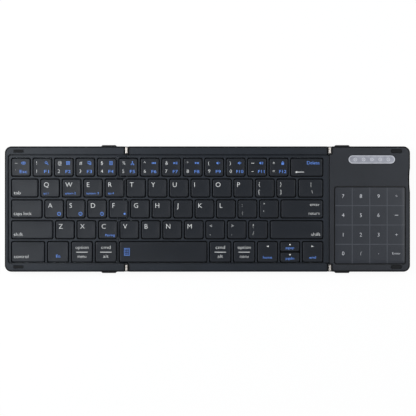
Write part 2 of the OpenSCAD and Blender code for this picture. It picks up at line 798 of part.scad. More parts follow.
module right_top_cover() {
    color("#454a50") difference() {
        union() {
            difference() {
                translate([0, 0, split_z]) linear_extrude(rim_z - split_z) right_plan(tub_t);
                translate([0, 0, split_z - eps]) linear_extrude(skin_z - split_z + eps)
                    difference() {
                        right_plan(wall_t, seam_wall_t);
                        for (y = [-1, 1]) translate([right_axis, y * rear_edge])
                            square([2 * (notch_w + seam_wall_t),
                                    2 * (rear_edge - notch_y0 + seam_wall_t)], center = true);
                    }
            }
            screw_bosses(RIGHT_SCREWS);
            leaf_seats(right_axis, 1, leaf_z + leaf_t, skin_z + eps);
        }
        notches(right_axis, split_z - eps);
        leaf_slots(right_axis, 1);
        translate([pad_x, pad_y, skin_z - 1]) linear_extrude(rim_z)
            rounded_rect(pad_w + 2 * pad_gap, pad_d + 2 * pad_gap, pad_r + pad_gap);
        translate([window_cx, window_cy, rim_z - window_t]) linear_extrude(rim_z)
            pill(window_l + 2 * insert_gap, window_w + 2 * insert_gap);
        at_lights() translate([0, 0, split_z]) cylinder(h = rim_z, r = light_r);
        wall_cutouts(tub_t);
        bumper_pockets(right_edge - bumper_x)
            pill(right_pad_l + 2 * insert_gap, right_pad_w + 2 * insert_gap);
    }
}

module at_lights() {
    for (i = [0:light_count - 1])
        translate([window_cx + (i - (light_count - 1) / 2) * light_pitch, window_cy, 0])
            children();
}

module touchpad_face() {
    color("#4c5157") translate([pad_x, pad_y, skin_z]) linear_extrude(pad_t)
        rounded_rect(pad_w, pad_d, pad_r);
}

module touchpad_board() {
    color("#2f5a3c") translate([pad_x, pad_y, skin_z - pad_board_t]) linear_extrude(pad_board_t)
        square([pad_w + 2 * pad_lip, pad_d + 2 * pad_lip], center = true);
}

module status_window() {
    color("#a6a6ae") translate([window_cx, window_cy, rim_z - window_t])
        linear_extrude(window_t) pill(window_l, window_w);
}

module main_board() {
    color("#2f5a3c") {
        translate([board_x0, board_y0, floor_z])
            cube([board_x1 - board_x0, main_board_d, main_board_t]);
        translate([socket_cx - socket_w / 2, board_y1 - eps, floor_z])
            cube([socket_w, rear_edge - wall_t - board_gap - board_y1, main_board_t]);
        at_lights() translate([-led_w / 2, -led_w / 2, board_top - eps])
            cube([led_w, led_w, chip_h]);
        translate([board_x0 + chip_inset, board_y0 + chip_inset / 2, board_top - eps])
            cube([chip_w, chip_w, chip_h]);
        translate([board_x1 - 2 * chip_inset - radio_w, board_y0 + chip_inset / 2,
                   board_top - eps])
            cube([radio_w, radio_w, chip_h]);
    }
}

module battery() {
    y1 = board_y0 - 1;
    color("#b9bcc0") translate([pad_x - battery_w / 2, y1 - battery_d, floor_z])
        cube([battery_w, battery_d, battery_t]);
}

module charging_socket() {
    y0 = rear_edge - socket_d - socket_t;
    color("#c4c6c8") {
        translate([socket_cx, y0, socket_cz]) rotate([-90, 0, 0]) difference() {
            linear_extrude(socket_d) socket_outline(0);
            translate([0, 0, socket_t * 3]) linear_extrude(socket_d) socket_outline(-socket_t);
        }
        translate([socket_cx - tongue_w / 2, y0 + socket_t, socket_cz - tongue_t / 2])
            cube([tongue_w, socket_d - 4 * socket_t, tongue_t]);
    }
}

// The knob rests at the rear end of its slot and slides forward
module power_switch_knob() {
    x1 = right_edge - scoop_t + knob_out;
    inner_x1 = right_edge - wall_t - switch_gap;
    slider_w = switch_w + 2 * slider_t;
    color("#24272a") {
        translate([inner_x1 - eps, switch_cy - switch_w / 2, switch_z])
            cube([x1 - inner_x1, switch_w, switch_h]);
        translate([inner_x1 - slider_t, switch_cy - slider_w / 2, board_top + insert_gap])
            cube([slider_t, slider_w, split_z + switch_h / 2 - board_top]);
    }
}

// Rubber feet, bumper pads and screws
module foot_strip(x0) {
    translate([x0, 0, 0]) {
        translate([0, -rear_edge - eps, 0]) cube([strip_w, case_d + 2 * eps, foot_h]);
        both_ends() translate([0, rear_edge, 0]) linear_extrude(lug_h)
            polygon([[0, 0], [strip_w, 0], [strip_w - lug_chamfer, lug_out],
                     [lug_chamfer, lug_out]]);
    }
}

module left_foot_strip() {
    color("#121314") foot_strip(left_axis - strip_x - strip_w);
}

module right_foot_strip() {
    color("#121314") foot_strip(right_axis + right_strip_x);
}

module centre_feet() {
    y1 = rear_edge - round_foot_inset;
    color("#121314")
        for (x = [left_axis + round_foot_inset, right_axis - round_foot_inset], y = [-y1, y1])
            translate([x, y, 0]) cylinder(h = foot_h, r = round_foot_r);
}

module left_bumper_pads() {
    color("#17191b") both_ends()
        translate([left_edge + bumper_x, rear_edge - bumper_y, rim_z - bumper_sink])
            linear_extrude(bumper_sink + bumper_rise)
                square([left_pad_l, left_pad_w], center = true);
}

module right_bumper_pads() {
    color("#17191b") both_ends()
        translate([right_edge - bumper_x, rear_edge - bumper_y, rim_z - bumper_sink])
            linear_extrude(bumper_sink + bumper_rise) pill(right_pad_l, right_pad_w);
}

module screws(xs) {
    at_screws(xs) {
        difference() {
            translate([0, 0, foot_h + head_gap]) cylinder(h = screw_head_h, r = screw_head_r);
            for (a = [0, 90]) rotate(a)
                translate([-screw_head_r * 0.6, -screw_head_r * 0.1, foot_h])
                    cube([screw_head_r * 1.2, screw_head_r * 0.2, screw_head_h * 0.6]);
        }
        translate([0, 0, foot_h + screw_head_h])
            cylinder(h = screw_top - foot_h - screw_head_h, r = screw_r);
    }
}

module centre_screws() { color("#3a3c3e") screws(CENTRE_SCREWS); }
module left_screws() { color("#3a3c3e") screws(LEFT_SCREWS); }
module right_screws() { color("#3a3c3e") screws(RIGHT_SCREWS); }

// Hinges: the middle panel holds the outer knuckles and the pins, the wing the inner ones
module leaves(axis_x, side, knuckle_y0) {
    mirror_x(axis_x, side) both_ends() difference() {
        union() {
            translate([0, knuckle_y0 + knuckle_l, axis_z]) rotate([90, 0, 0])
                cylinder(h = knuckle_l, r = barrel_r);
            translate([neck_x, knuckle_y0, leaf_z])
                cube([barrel_r - neck_x, knuckle_l, axis_z - leaf_z]);
            translate([neck_x, leaf_y0, leaf_z]) cube([leaf_l - neck_x, leaf_w, leaf_t]);
        }
        translate([0, knuckle_y0 + knuckle_l + 1, axis_z]) rotate([90, 0, 0])
            cylinder(h = knuckle_l + 2, r = pin_r + pin_fit);
    }
}

module hinge_pins(axis_x) {
    both_ends() translate([axis_x, barrel_y1, axis_z]) rotate([90, 0, 0])
        cylinder(h = barrel_l, r = pin_r);
}

module left_hinge_centre_leaves() {
    color("#d9d4d0") leaves(left_axis, 1, barrel_y1 - knuckle_l);
}

module left_hinge_wing_leaves() {
    color("#d9d4d0") leaves(left_axis, -1, barrel_y0);
}

module left_hinge_pins() { color("#b5b1ae") hinge_pins(left_axis); }

module right_hinge_centre_leaves() {
    color("#d9d4d0") leaves(right_axis, -1, barrel_y1 - knuckle_l);
}

module right_hinge_wing_leaves() {
    color("#d9d4d0") leaves(right_axis, 1, barrel_y0);
}

module right_hinge_pins() { color("#b5b1ae") hinge_pins(right_axis); }

centre_base_shell();
centre_top_frame();
centre_switch_plate();
centre_membrane();
centre_rubber_domes();
centre_scissor_links();
centre_feet();
centre_screws();
left_base_shell();
left_top_frame();
left_switch_plate();
left_membrane();
left_rubber_domes();
left_scissor_links();
left_foot_strip();
left_screws();
left_bumper_pads();
right_base_shell();
right_top_cover();
touchpad_face();
touchpad_board();
status_window();
main_board();
battery();
charging_socket();
power_switch_knob();
right_foot_strip();
right_screws();
right_bumper_pads();
left_hinge_centre_leaves();
left_hinge_wing_leaves();
left_hinge_pins();
right_hinge_centre_leaves();
right_hinge_wing_leaves();
right_hinge_pins();
number_keys_left();
tab_key();
letter_keys_q_to_r();
caps_lock_key();
letter_keys_a_to_f();
left_shift_key();
letter_keys_z_to_c();
control_key();
function_key();
left_option_key();
left_command_key();
number_keys_centre();
delete_key();
letter_keys_t_to_bracket();
backslash_key();
letter_keys_g_to_quote();
enter_key();
letter_keys_v_to_slash();
right_shift_key();
space_bar();
right_modifier_keys();
left_arrow_key();
up_arrow_key();
down_arrow_key();
right_arrow_key();
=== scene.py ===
"""A folding keyboard in three panels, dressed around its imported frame.

Lengths are in millimetres until piece() or MM turns them to metres; the few that are
written in metres say so.
"""
import json
import math

import bmesh
import bpy
import numpy as np
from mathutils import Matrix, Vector

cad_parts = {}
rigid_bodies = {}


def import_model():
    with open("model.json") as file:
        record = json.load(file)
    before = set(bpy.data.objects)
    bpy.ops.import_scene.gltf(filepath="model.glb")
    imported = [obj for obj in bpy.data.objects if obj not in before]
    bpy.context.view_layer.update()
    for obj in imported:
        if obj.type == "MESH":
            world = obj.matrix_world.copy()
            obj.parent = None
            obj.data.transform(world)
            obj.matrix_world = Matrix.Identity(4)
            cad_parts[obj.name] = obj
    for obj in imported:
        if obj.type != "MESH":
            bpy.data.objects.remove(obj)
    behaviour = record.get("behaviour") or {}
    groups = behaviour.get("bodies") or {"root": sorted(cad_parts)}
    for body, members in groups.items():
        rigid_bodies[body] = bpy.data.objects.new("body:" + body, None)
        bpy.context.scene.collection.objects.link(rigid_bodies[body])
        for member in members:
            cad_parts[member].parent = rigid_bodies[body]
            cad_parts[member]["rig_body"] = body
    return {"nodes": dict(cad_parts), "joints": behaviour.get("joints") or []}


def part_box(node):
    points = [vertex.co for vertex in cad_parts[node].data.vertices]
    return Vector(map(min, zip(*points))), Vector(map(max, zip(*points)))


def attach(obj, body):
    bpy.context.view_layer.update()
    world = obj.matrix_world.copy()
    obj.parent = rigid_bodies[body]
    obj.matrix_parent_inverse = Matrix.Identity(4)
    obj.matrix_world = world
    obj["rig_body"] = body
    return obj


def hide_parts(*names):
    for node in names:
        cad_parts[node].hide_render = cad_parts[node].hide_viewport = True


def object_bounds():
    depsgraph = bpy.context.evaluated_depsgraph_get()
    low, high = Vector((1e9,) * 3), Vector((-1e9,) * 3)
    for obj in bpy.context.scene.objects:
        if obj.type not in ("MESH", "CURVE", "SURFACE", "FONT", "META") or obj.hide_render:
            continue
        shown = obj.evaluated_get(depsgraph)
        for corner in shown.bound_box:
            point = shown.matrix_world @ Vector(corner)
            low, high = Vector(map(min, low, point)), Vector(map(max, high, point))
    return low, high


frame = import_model()
cad_box = [list(corner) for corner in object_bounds()]

MM = 0.001
WHITE, BLUE = 1, 2  # finish numbers of the two inks on a keycap

# ---------------------------------------------------------------- colours and nodes


def linear(hexcode):
    """sRGB hex to linear: c / 12.92 below 0.04045, else ((c + 0.055) / 1.055) ** 2.4."""
    parts = [int(hexcode[i:i + 2], 16) / 255 for i in (1, 3, 5)]
    return (*(c / 12.92 if c <= 0.04045 else ((c + 0.055) / 1.055) ** 2.4 for c in parts), 1.0)


def add(tree, kind, sockets=None, **settings):
    """Adds one node with its settings; a socket takes a constant or another node's output."""
    node = tree.nodes.new(kind)
    for key, value in settings.items():
        setattr(node, key, value)
    for key, value in (sockets or {}).items():
        if isinstance(value, bpy.types.NodeSocket):
            tree.links.new(value, node.inputs[key])
        else:
            node.inputs[key].default_value = value
    return node


def new_tree(name):
    """An empty material, its tree and its output node."""
    made = bpy.data.materials.new(name)
    made.use_nodes = True
    made.node_tree.nodes.clear()
    return made, made.node_tree, add(made.node_tree, "ShaderNodeOutputMaterial")


NOISE_REACH = {"From Min": 0.3, "From Max": 0.7}  # where nearly all of a noise's values lie


def surface(name, dark, pale, rough, grain, depth, patch=25, rough_swing=0.06, metallic=0.0,
            specular=0.5, worn=0.0, stretch=(1, 1, 1)):
    """A finish whose colour drifts from dark to pale over patches, with a bumped grain.

    grain and patch are sizes in mm, depth is the bump's height in mm, and worn is how far
    the roughness falls where the piece's own attribute "worn" is 1. stretch scales the
    pattern along x, y and z: a low number draws it out into lines.
    """
    made, tree, out = new_tree(name)
    where = add(tree, "ShaderNodeTexCoord").outputs["Object"]
    where = add(tree, "ShaderNodeMapping", {"Vector": where, "Scale": stretch}).outputs[0]
    drift = add(tree, "ShaderNodeTexNoise",
                {"Vector": where, "Scale": 1 / (patch * MM), "Detail": 3.0})
    fine = add(tree, "ShaderNodeTexNoise",
               {"Vector": where, "Scale": 1 / (grain * MM), "Detail": 2.0})
    share = add(tree, "ShaderNodeMapRange", {"Value": drift.outputs["Fac"], **NOISE_REACH})
    tint = add(tree, "ShaderNodeMix", {"Factor": share.outputs[0], "A": linear(dark),
                                       "B": linear(pale)}, data_type="RGBA")
    spread = add(tree, "ShaderNodeMapRange",
                 {"Value": fine.outputs["Fac"], **NOISE_REACH,
                  "To Min": rough - rough_swing, "To Max": rough + rough_swing})
    roughness = spread.outputs[0]
    if worn:
        attribute = add(tree, "ShaderNodeAttribute", attribute_name="worn")
        roughness = add(tree, "ShaderNodeMath",
                        {0: attribute.outputs["Fac"], 1: -worn, 2: roughness},
                        operation="MULTIPLY_ADD").outputs[0]
    bump = add(tree, "ShaderNodeBump",
               {"Height": fine.outputs["Fac"], "Strength": 1.0, "Distance": depth * MM})
    shader = add(tree, "ShaderNodeBsdfPrincipled",
                 {"Base Color": tint.outputs["Result"], "Roughness": roughness,
                  "Metallic": metallic, "Normal": bump.outputs[0],
                  "Specular IOR Level": specular})
    tree.links.new(shader.outputs[0], out.inputs[0])
    return made


# Matt coated ABS keycaps: near black, a soft sheen, a little smoother where fingers land.
# The coat's grain is some 0.05 mm and is drawn at 0.35 mm so that it shows at all.
CAP = surface("matt_coated_abs_keycap", "#090E16", "#0E131B", 0.44, 0.35, 0.008, worn=0.05,
              specular=0.32)
# Spark-eroded ABS of the frames: a touch bluer and paler than the caps, even satin.
FRAME = surface("spark_eroded_abs_frame", "#0F151D", "#141A23", 0.44, 0.4, 0.010, specular=0.32)
# Spark-eroded ABS of the right panel's cover: warmer grey than the frames.
COVER = surface("spark_eroded_abs_cover", "#171A20", "#1C1F26", 0.46, 0.4, 0.010, specular=0.36)
# Black ABS of the lower shells: deep and dull, with a coarser grain. The touch surface's rounded
# edge and sides are drawn with it too, as painted shade: the dark outline that a shaded edge
# would give.
SHELL = surface("coarse_grained_abs_shell", "#060709", "#0A0B0E", 0.6, 0.6, 0.02, specular=0.15)
# Pad-printed white ink: matt, a neutral light grey rather than white, dimmer in patches.
INK_WHITE = surface("white_pad_print", "#C8C9CA", "#D8D8D6", 0.6, 0.4, 0.002, patch=3)
# Pad-printed blue ink of the second functions: a clear mid blue, as matt as the white.
INK_BLUE = surface("blue_pad_print", "#4873C4", "#5984D2", 0.6, 0.4, 0.002, patch=3)
# Grey screen print of the touch surface's signs: dimmer and cooler than the caps' white.
INK_GREY = surface("grey_screen_print", "#B9BABF", "#CDCED2", 0.55, 0.4, 0.002, patch=3)
# Faint screen print of the touch surface's grid: only a shade above the surface itself.
INK_GRID = surface("faint_screen_print", "#3C3F46", "#454850", 0.5, 0.4, 0.002, patch=5)
# Etched polycarbonate touch surface: silky, cool grey, reflects the room softly.
TOUCH = surface("etched_polycarbonate_touch_surface", "#1F2229", "#24272E", 0.36, 0.25, 0.004,
                specular=0.42)
# Silver-painted window over the status lights: fine metallic flake under satin lacquer.
WINDOW = surface("silver_lacquered_window", "#7F8089", "#9899A2", 0.36, 0.3, 0.003,
                 metallic=0.2, patch=4)
# Screen print of that window's outline and its five rings: a paler, more matt grey.
INK_SILVER = surface("silver_screen_print", "#BDBEC4", "#C9CACF", 0.45, 0.4, 0.002, patch=3)
# Moulded black rubber: no shine, slightly dusty.
RUBBER = surface("moulded_black_rubber", "#08090B", "#0D0F12", 0.7, 0.5, 0.02, specular=0.22)
# Painted highlight on the crest of the hinge barrels: a bright nickel colour where a round barrel
# would catch the light, warm, with faint drawing lines.
HIGHLIGHT_NICKEL = surface("bright_nickel_plated_steel", "#A39C96", "#B5AEA7", 0.3, 0.3, 0.001,
                 metallic=1.0, rough_swing=0.04, stretch=(1, 0.05, 1))
# Dull, oily black of the hinge leaves; on the barrels' flanks the same black is painted shade
# beside the painted highlight.
LEAF = surface("black_oxide_steel_leaf", "#0C0D0F", "#141518", 0.5, 0.3, 0.002, metallic=0.4)
# Ground steel of the hinge pins: bright, with fine grinding lines.
PIN = surface("ground_steel_pin", "#8D8E90", "#A5A6A8", 0.25, 0.15, 0.001, metallic=1.0,
              stretch=(0.05, 1, 0.05))
# Stamped zinc-plated plate under the switches: spangled grey.
PLATE = surface("zinc_plated_stamped_steel", "#7F8386", "#9DA1A4", 0.42, 0.8, 0.004,
                metallic=1.0, patch=6)
# Polyester membrane coloured near black as painted shade: the gaps between keys look down on it
# and stay dark, as shaded gaps would.
SHADE_FILM = surface("black_printed_polyester_membrane", "#050607", "#090A0C", 0.5, 1.5, 0.002,
               patch=9, specular=0.3)
# Black silicone rubber of the domes: dull, with hardly any grain.
DOME = surface("black_silicone_rubber", "#0A0B0C", "#111214", 0.6, 0.5, 0.004, patch=5)
# Black acetal scissor links: waxy, deep black.
LINK = surface("black_acetal", "#08090A", "#0E0F11", 0.42, 0.4, 0.003, patch=6)
# Laminated foil pouch of the battery: crinkled silver-grey.
FOIL = surface("laminated_aluminium_foil", "#8C9092", "#B4B7B9", 0.34, 3.0, 0.05, metallic=0.8,
               patch=7)
# Drawn steel shell of the charging socket: a smooth grey gleam, with faint drawing lines.
SOCKET = surface("drawn_stainless_steel", "#9A9B9C", "#B3B4B5", 0.28, 0.2, 0.001, metallic=1.0,
                 stretch=(1, 0.1, 1))
# Black-zinc screws: dark, oily gleam.
SCREW = surface("black_zinc_steel", "#26272A", "#36383B", 0.35, 0.2, 0.002, metallic=1.0)
# Satin-moulded ABS of the power switch knob: dark, and smoother than the cover around it.
KNOB = surface("satin_abs_knob", "#14161A", "#1B1D22", 0.4, 0.3, 0.006)

TRACK_TURN = 0.8 * MM  # length of one radian of the tracks' wave, which sets them 5 mm apart
WAVE_TURN = 20         # radians in one unit of a wave texture whose scale is 1


def solder_mask(name, mask, track):
    """Glass-epoxy board: a satin, tinted mask, with paler copper tracks under it.

    Tracks are the upper halves of a saw wave whose phase is shaken by noise.
    """
    made, tree, out = new_tree(name)
    where = add(tree, "ShaderNodeTexCoord").outputs["Object"]
    tracks = add(tree, "ShaderNodeTexWave",
                 {"Vector": where, "Scale": 1 / TRACK_TURN / WAVE_TURN, "Distortion": 6.0,
                  "Detail": 1.0, "Detail Scale": 0.6}, wave_profile="SAW")
    edge = add(tree, "ShaderNodeMapRange",
               {"Value": tracks.outputs["Fac"], "From Min": 0.45, "From Max": 0.55})
    tint = add(tree, "ShaderNodeMix", {"Factor": edge.outputs[0], "A": linear(mask),
                                       "B": linear(track)}, data_type="RGBA")
    bump = add(tree, "ShaderNodeBump", {"Height": edge.outputs[0], "Strength": 1.0,
                                        "Distance": 0.03 * MM})
    shader = add(tree, "ShaderNodeBsdfPrincipled",
                 {"Base Color": tint.outputs["Result"], "Roughness": 0.32,
                  "Normal": bump.outputs[0]})
    tree.links.new(shader.outputs[0], out.inputs[0])
    return made


# Solder-masked boards: the main one a deep satin green, the touch surface's nearly black.
BOARD = solder_mask("green_masked_glass_epoxy", "#1C4A30", "#2B6A45")
TOUCH_BOARD = solder_mask("black_masked_glass_epoxy", "#08090A", "#0E1012")

# ---------------------------------------------------------------- meshes

SHARP_FROM = math.radians(40)  # edges that turn by more than this are drawn sharp


def placed(name, data):
    """A new object in the scene, at the origin."""
    obj = bpy.data.objects.new(name, data)
    bpy.context.scene.collection.objects.link(obj)
    return obj


def values(items, name, kind, width=1):
    """One property of every item, as an array with a row for each item."""
    found = np.empty(len(items) * width, kind)
    items.foreach_get(name, found)
    return found.reshape(-1, width) if width > 1 else found


def piece(name, chunks, finishes, body, node):
    """Joins chunks of (points in mm, faces, finish number, worn share) into one piece.

    The finish number may be an array with one for each face, and the worn share one with a
    value for each point; a chunk without it isn't worn.
    """
    points = np.concatenate([c[0] for c in chunks]) * MM
    starts = np.cumsum([0] + [len(c[0]) for c in chunks[:-1]])
    faces = [tuple(int(i) + int(s) for i in f) for c, s in zip(chunks, starts) for f in c[1]]
    finish = np.concatenate([np.full(len(c[1]), c[2]) for c in chunks]).astype(np.int32)
    worn = np.concatenate([np.broadcast_to(c[3] if len(c) > 3 else 0.0, len(c[0]))
                           for c in chunks]).astype(np.float32)
    mesh = bpy.data.meshes.new(name)
    mesh.from_pydata(points.tolist(), [], faces)
    for made in finishes:
        mesh.materials.append(made)
    mesh.polygons.foreach_set("material_index", finish)
    mesh.attributes.new("worn", "FLOAT", "POINT").data.foreach_set("value", worn)
    mesh.shade_smooth()
    mesh.set_sharp_from_angle(angle=SHARP_FROM)
    obj = placed(name, mesh)
    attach(obj, body)
    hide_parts(node)


def rounded_ring(width, depth, radius, steps, along=0):
    """Points of a width x depth rectangle whose corners are arcs: corner + radius (cos, sin).

    steps is the number of chords of each arc, and along the number of points on each
    straight side between two arcs.
    """
    turn = np.linspace(0, math.pi / 2, steps + 1)
    corner = np.array([[1, 1], [-1, 1], [-1, -1], [1, -1]])
    middle = corner * [width / 2 - radius, depth / 2 - radius]
    angle = turn[None, :] + np.arange(4)[:, None] * math.pi / 2
    arcs = middle[:, None] + np.stack([np.cos(angle), np.sin(angle)], axis=-1) * radius
    share = np.linspace(0, 1, along + 2)[1:-1, None]
    start, end = arcs[:, -1:], np.roll(arcs[:, :1], -1, axis=0)
    return np.concatenate([arcs, start + share * (end - start)], axis=1).reshape(-1, 2)


def lofted(rings):
    """Closed skin over equal rings of points: quads from ring to ring, a fan at each end."""
    rings = np.asarray(rings)
    count, size = rings.shape[:2]
    points = np.concatenate([rings.reshape(-1, 3), rings[:1].mean(1), rings[-1:].mean(1)])
    index = np.arange(count * size).reshape(count, size)
    after = np.roll(index, -1, axis=1)
    quads = np.stack([index[:-1], after[:-1], after[1:], index[1:]], axis=-1).reshape(-1, 4)
    foot, head = count * size, count * size + 1
    fans = np.concatenate([
        np.stack([after[0], index[0], np.full(size, foot)], axis=-1),
        np.stack([index[-1], after[-1], np.full(size, head)], axis=-1)])
    return points, quads.tolist() + fans.tolist()


def prism(outline, low, high):
    """A closed plate: the outline at two heights, with a quad under each of its edges."""
    outline = np.asarray(outline, float)
    x, y = outline.T
    if np.sum(x * np.roll(y, -1) - y * np.roll(x, -1)) < 0:
        outline = outline[::-1]
    size = len(outline)
    points = np.concatenate([np.column_stack([outline, np.full(size, z)]) for z in (low, high)])
    i = np.arange(size)
    after = np.roll(i, -1)
    sides = np.column_stack([i, after, after + size, i + size]).tolist()
    return points, sides + [(i + size).tolist(), i[::-1].tolist()]


def band(path, width, low, high, closed=False):
    """A flat bar along a path: each point moves half a width along the corner's mitre."""
    path = np.asarray(path, float)
    step = np.roll(path, -1, axis=0) - path
    if not closed:
        step[-1] = step[-2]
    step /= np.linalg.norm(step, axis=1)[:, None]
    before = np.roll(step, 1, axis=0)
    if not closed:
        before[0] = step[0]
    normal = np.stack([-step[:, 1], step[:, 0]], axis=-1)
    other = np.stack([-before[:, 1], before[:, 0]], axis=-1)
    mitre = (normal + other) / (1 + np.sum(normal * other, axis=1))[:, None] * width / 2
    left, right = path + mitre, path - mitre
    flat = np.stack([left, right, right, left], axis=1)
    height = np.broadcast_to([high, high, low, low], flat.shape[:2])
    points = np.concatenate([flat, height[..., None]], axis=-1).reshape(-1, 3)
    index = np.arange(len(path) * 4).reshape(-1, 4)
    around = np.roll(index, -1, axis=1)
    ahead, ahead_around = np.roll(index, -1, axis=0), np.roll(around, -1, axis=0)
    quads = np.stack([index, around, ahead_around, ahead], axis=-1)
    if closed:
        return points, quads.reshape(-1, 4).tolist()
    ends = [[0, 3, 2, 1], index[-1].tolist()]
    return points, quads[:-1].reshape(-1, 4).tolist() + ends


# ---------------------------------------------------------------- printed signs

TURN = np.linspace(0, 2 * math.pi, 25)[:-1]
ROUND = np.stack([np.cos(TURN), np.sin(TURN)], axis=-1)  # a circle of radius 1 in 24 steps
ARC_POINTS = 9


def arc(radius, start, end, x=0.0, y=0.0):
    """Points on a circle from start to end, in degrees: middle + radius (cos, sin)."""
    angle = np.radians(np.linspace(start, end, ARC_POINTS))
    return np.stack([x + radius * np.cos(angle), y + radius * np.sin(angle)], axis=-1)


def box_path(x0, y0, x1, y1):
    """The four corners of a rectangle."""
    return [(x0, y0), (x1, y0), (x1, y1), (x0, y1)]


SPEAKER = [(-.5, -.18), (-.3, -.18), (-.02, -.42), (-.02, .42), (-.3, .18), (-.5, .18)]
# Each sign is a list of (path, bar width or None for a filled plate, closed), one unit across.
SIGNS = {
    "eye": [(ROUND * [.5, .3], .13, True), (ROUND * .12, None, True)],
    "magnifier": [(ROUND * .28 + [-.1, .12], .13, True), ([(.1, -.08), (.45, -.42)], .16, False)],
    "grid": [(box_path(x - .13, y - .13, x + .13, y + .13), None, True)
             for x in (-.34, 0, .34) for y in (-.34, 0, .34)],
    "copy": [(box_path(-.4, -.15, .15, .45), .12, True),
             ([(-.12, -.38), (.38, -.38), (.38, .2)], .12, False)],
    "page": [(box_path(-.36, -.45, .36, .45), .12, True), ([(-.2, .2), (.2, .2)], .1, False),
             ([(-.2, 0), (.2, 0)], .1, False), ([(-.2, -.2), (.2, -.2)], .1, False)],
    "cut": [([(-.2, -.3), (.12, .5)], .12, False), ([(.2, -.3), (-.12, .5)], .12, False),
            (ROUND * .14 + [-.28, -.36], .1, True), (ROUND * .14 + [.28, -.36], .1, True)],
    "previous": [([(.5, -.3), (.5, .3), (.02, 0)], None, True),
                 ([(0, -.3), (0, .3), (-.42, 0)], None, True),
                 ([(-.47, -.3), (-.47, .3)], .12, False)],
    "play": [([(-.5, -.32), (-.5, .32), (0, 0)], None, True),
             ([(.16, -.32), (.16, .32)], .14, False), ([(.42, -.32), (.42, .32)], .14, False)],
    "next": [([(-.5, -.3), (-.5, .3), (-.02, 0)], None, True),
             ([(0, -.3), (0, .3), (.42, 0)], None, True),
             ([(.47, -.3), (.47, .3)], .12, False)],
    "mute": [(SPEAKER, None, True), ([(.12, 0), (.42, 0)], .14, False)],
    "quiet": [(SPEAKER, None, True), (arc(.28, -50, 50), .12, False)],
    "loud": [(SPEAKER, None, True), (arc(.26, -50, 50), .1, False),
             (arc(.48, -50, 50), .1, False)],
    "padlock": [(box_path(-.34, -.45, .34, .08), None, True),
                (np.concatenate([[(-.2, .05)], arc(.2, 180, 0, 0, .2), [(.2, .05)]]), .12,
                 False)],
    "back": [([(-.3, 0), (.5, 0)], .07, False),
             ([(-.5, 0), (-.27, .12), (-.27, -.12)], None, True)],
    "ring": [(ROUND * .43, .13, True)],
    "disc": [(ROUND * .5, None, True)],
    "pad": [(box_path(-.36, -.5, .36, .5), .06, True)] + [
        (box_path(x - .065, y - .065, x + .065, y + .065), None, True)
        for x in (-.14, .14) for y in (-.28, 0, .28)],
    "left": [([(-.5, 0), (.5, -.32), (.5, .32)], None, True)],
    "right": [([(.5, 0), (-.5, .32), (-.5, -.32)], None, True)],
    "up": [([(0, .4), (-.5, -.4), (.5, -.4)], None, True)],
    "down": [([(0, -.4), (.5, .4), (-.5, .4)], None, True)],
    "dash": [([(-.5, 0), (.5, 0)], .13, False)],
    "rule": [([(-.5, 0), (.5, 0)], .05, False)],
    "lamp": [(ROUND * .5, .16, True), ([(-.18, 0), (.18, 0)], .16, False)],
}

# How far a letter's outline moves outwards, as a share of the font's size, and inwards where
# it is negative: for a single character, a white word and a blue word
STROKES = {"single": -0.012, WHITE: -0.014, BLUE: 0.0}


def word(text, x, base, height, width=None, ink=WHITE, side="left"):
    """A word's row in a legend: its x, base line, capital height and width, or None.

    side is the edge of the word and of the key that x joins; "over" joins the word's middle
    to a distance from the key's left edge, and "middle" to one from the key's middle.
    """
    return ("word", text, x, base, height, width, ink, side)


def sign(name, x, y, size, ink=WHITE, side="left"):
    """A sign's row in a legend: the middle of the sign and its size."""
    return ("sign", name, x, y, size, None, ink, side)


def cut_letters(inks):
    """Every word as (points, triangles) at unit capital height, base line at y = 0.

    inks maps each word to its ink. z is 1 on the face and -1 on the back, because the
    letters are extruded by 1 both ways. Points that agree to 5 decimals become one, which
    closes the letters, and H gives the capital height.
    """
    made = {}
    for text in sorted(inks):
        curve = bpy.data.curves.new("letters", "FONT")
        curve.body, curve.size, curve.resolution_u = text, 1.0, 3
        curve.extrude = 1.0
        curve.offset = STROKES[inks[text] if len(text) > 1 else "single"]
        made[text] = placed("letters", curve)
    bpy.context.view_layer.update()
    graph = bpy.context.evaluated_depsgraph_get()
    shapes = {}
    for text, obj in made.items():
        mesh = obj.evaluated_get(graph).to_mesh()
        mesh.calc_loop_triangles()
        points, same = np.unique(values(mesh.vertices, "co", np.float32, 3).round(5), axis=0,
                                 return_inverse=True)
        triangles = values(mesh.loop_triangles, "vertices", np.int32, 3)
        shapes[text] = points, same.reshape(-1)[triangles]
    for obj in made.values():
        curve = obj.data
        bpy.data.objects.remove(obj)
        bpy.data.curves.remove(curve)
    height = shapes["H"][0][:, 1].max()
    return {text: (points / [height, height, 1.0], triangles)
            for text, (points, triangles) in shapes.items()}


INK_UP, INK_DOWN = 0.03, 0.03  # how far the ink stands above and reaches into its surface


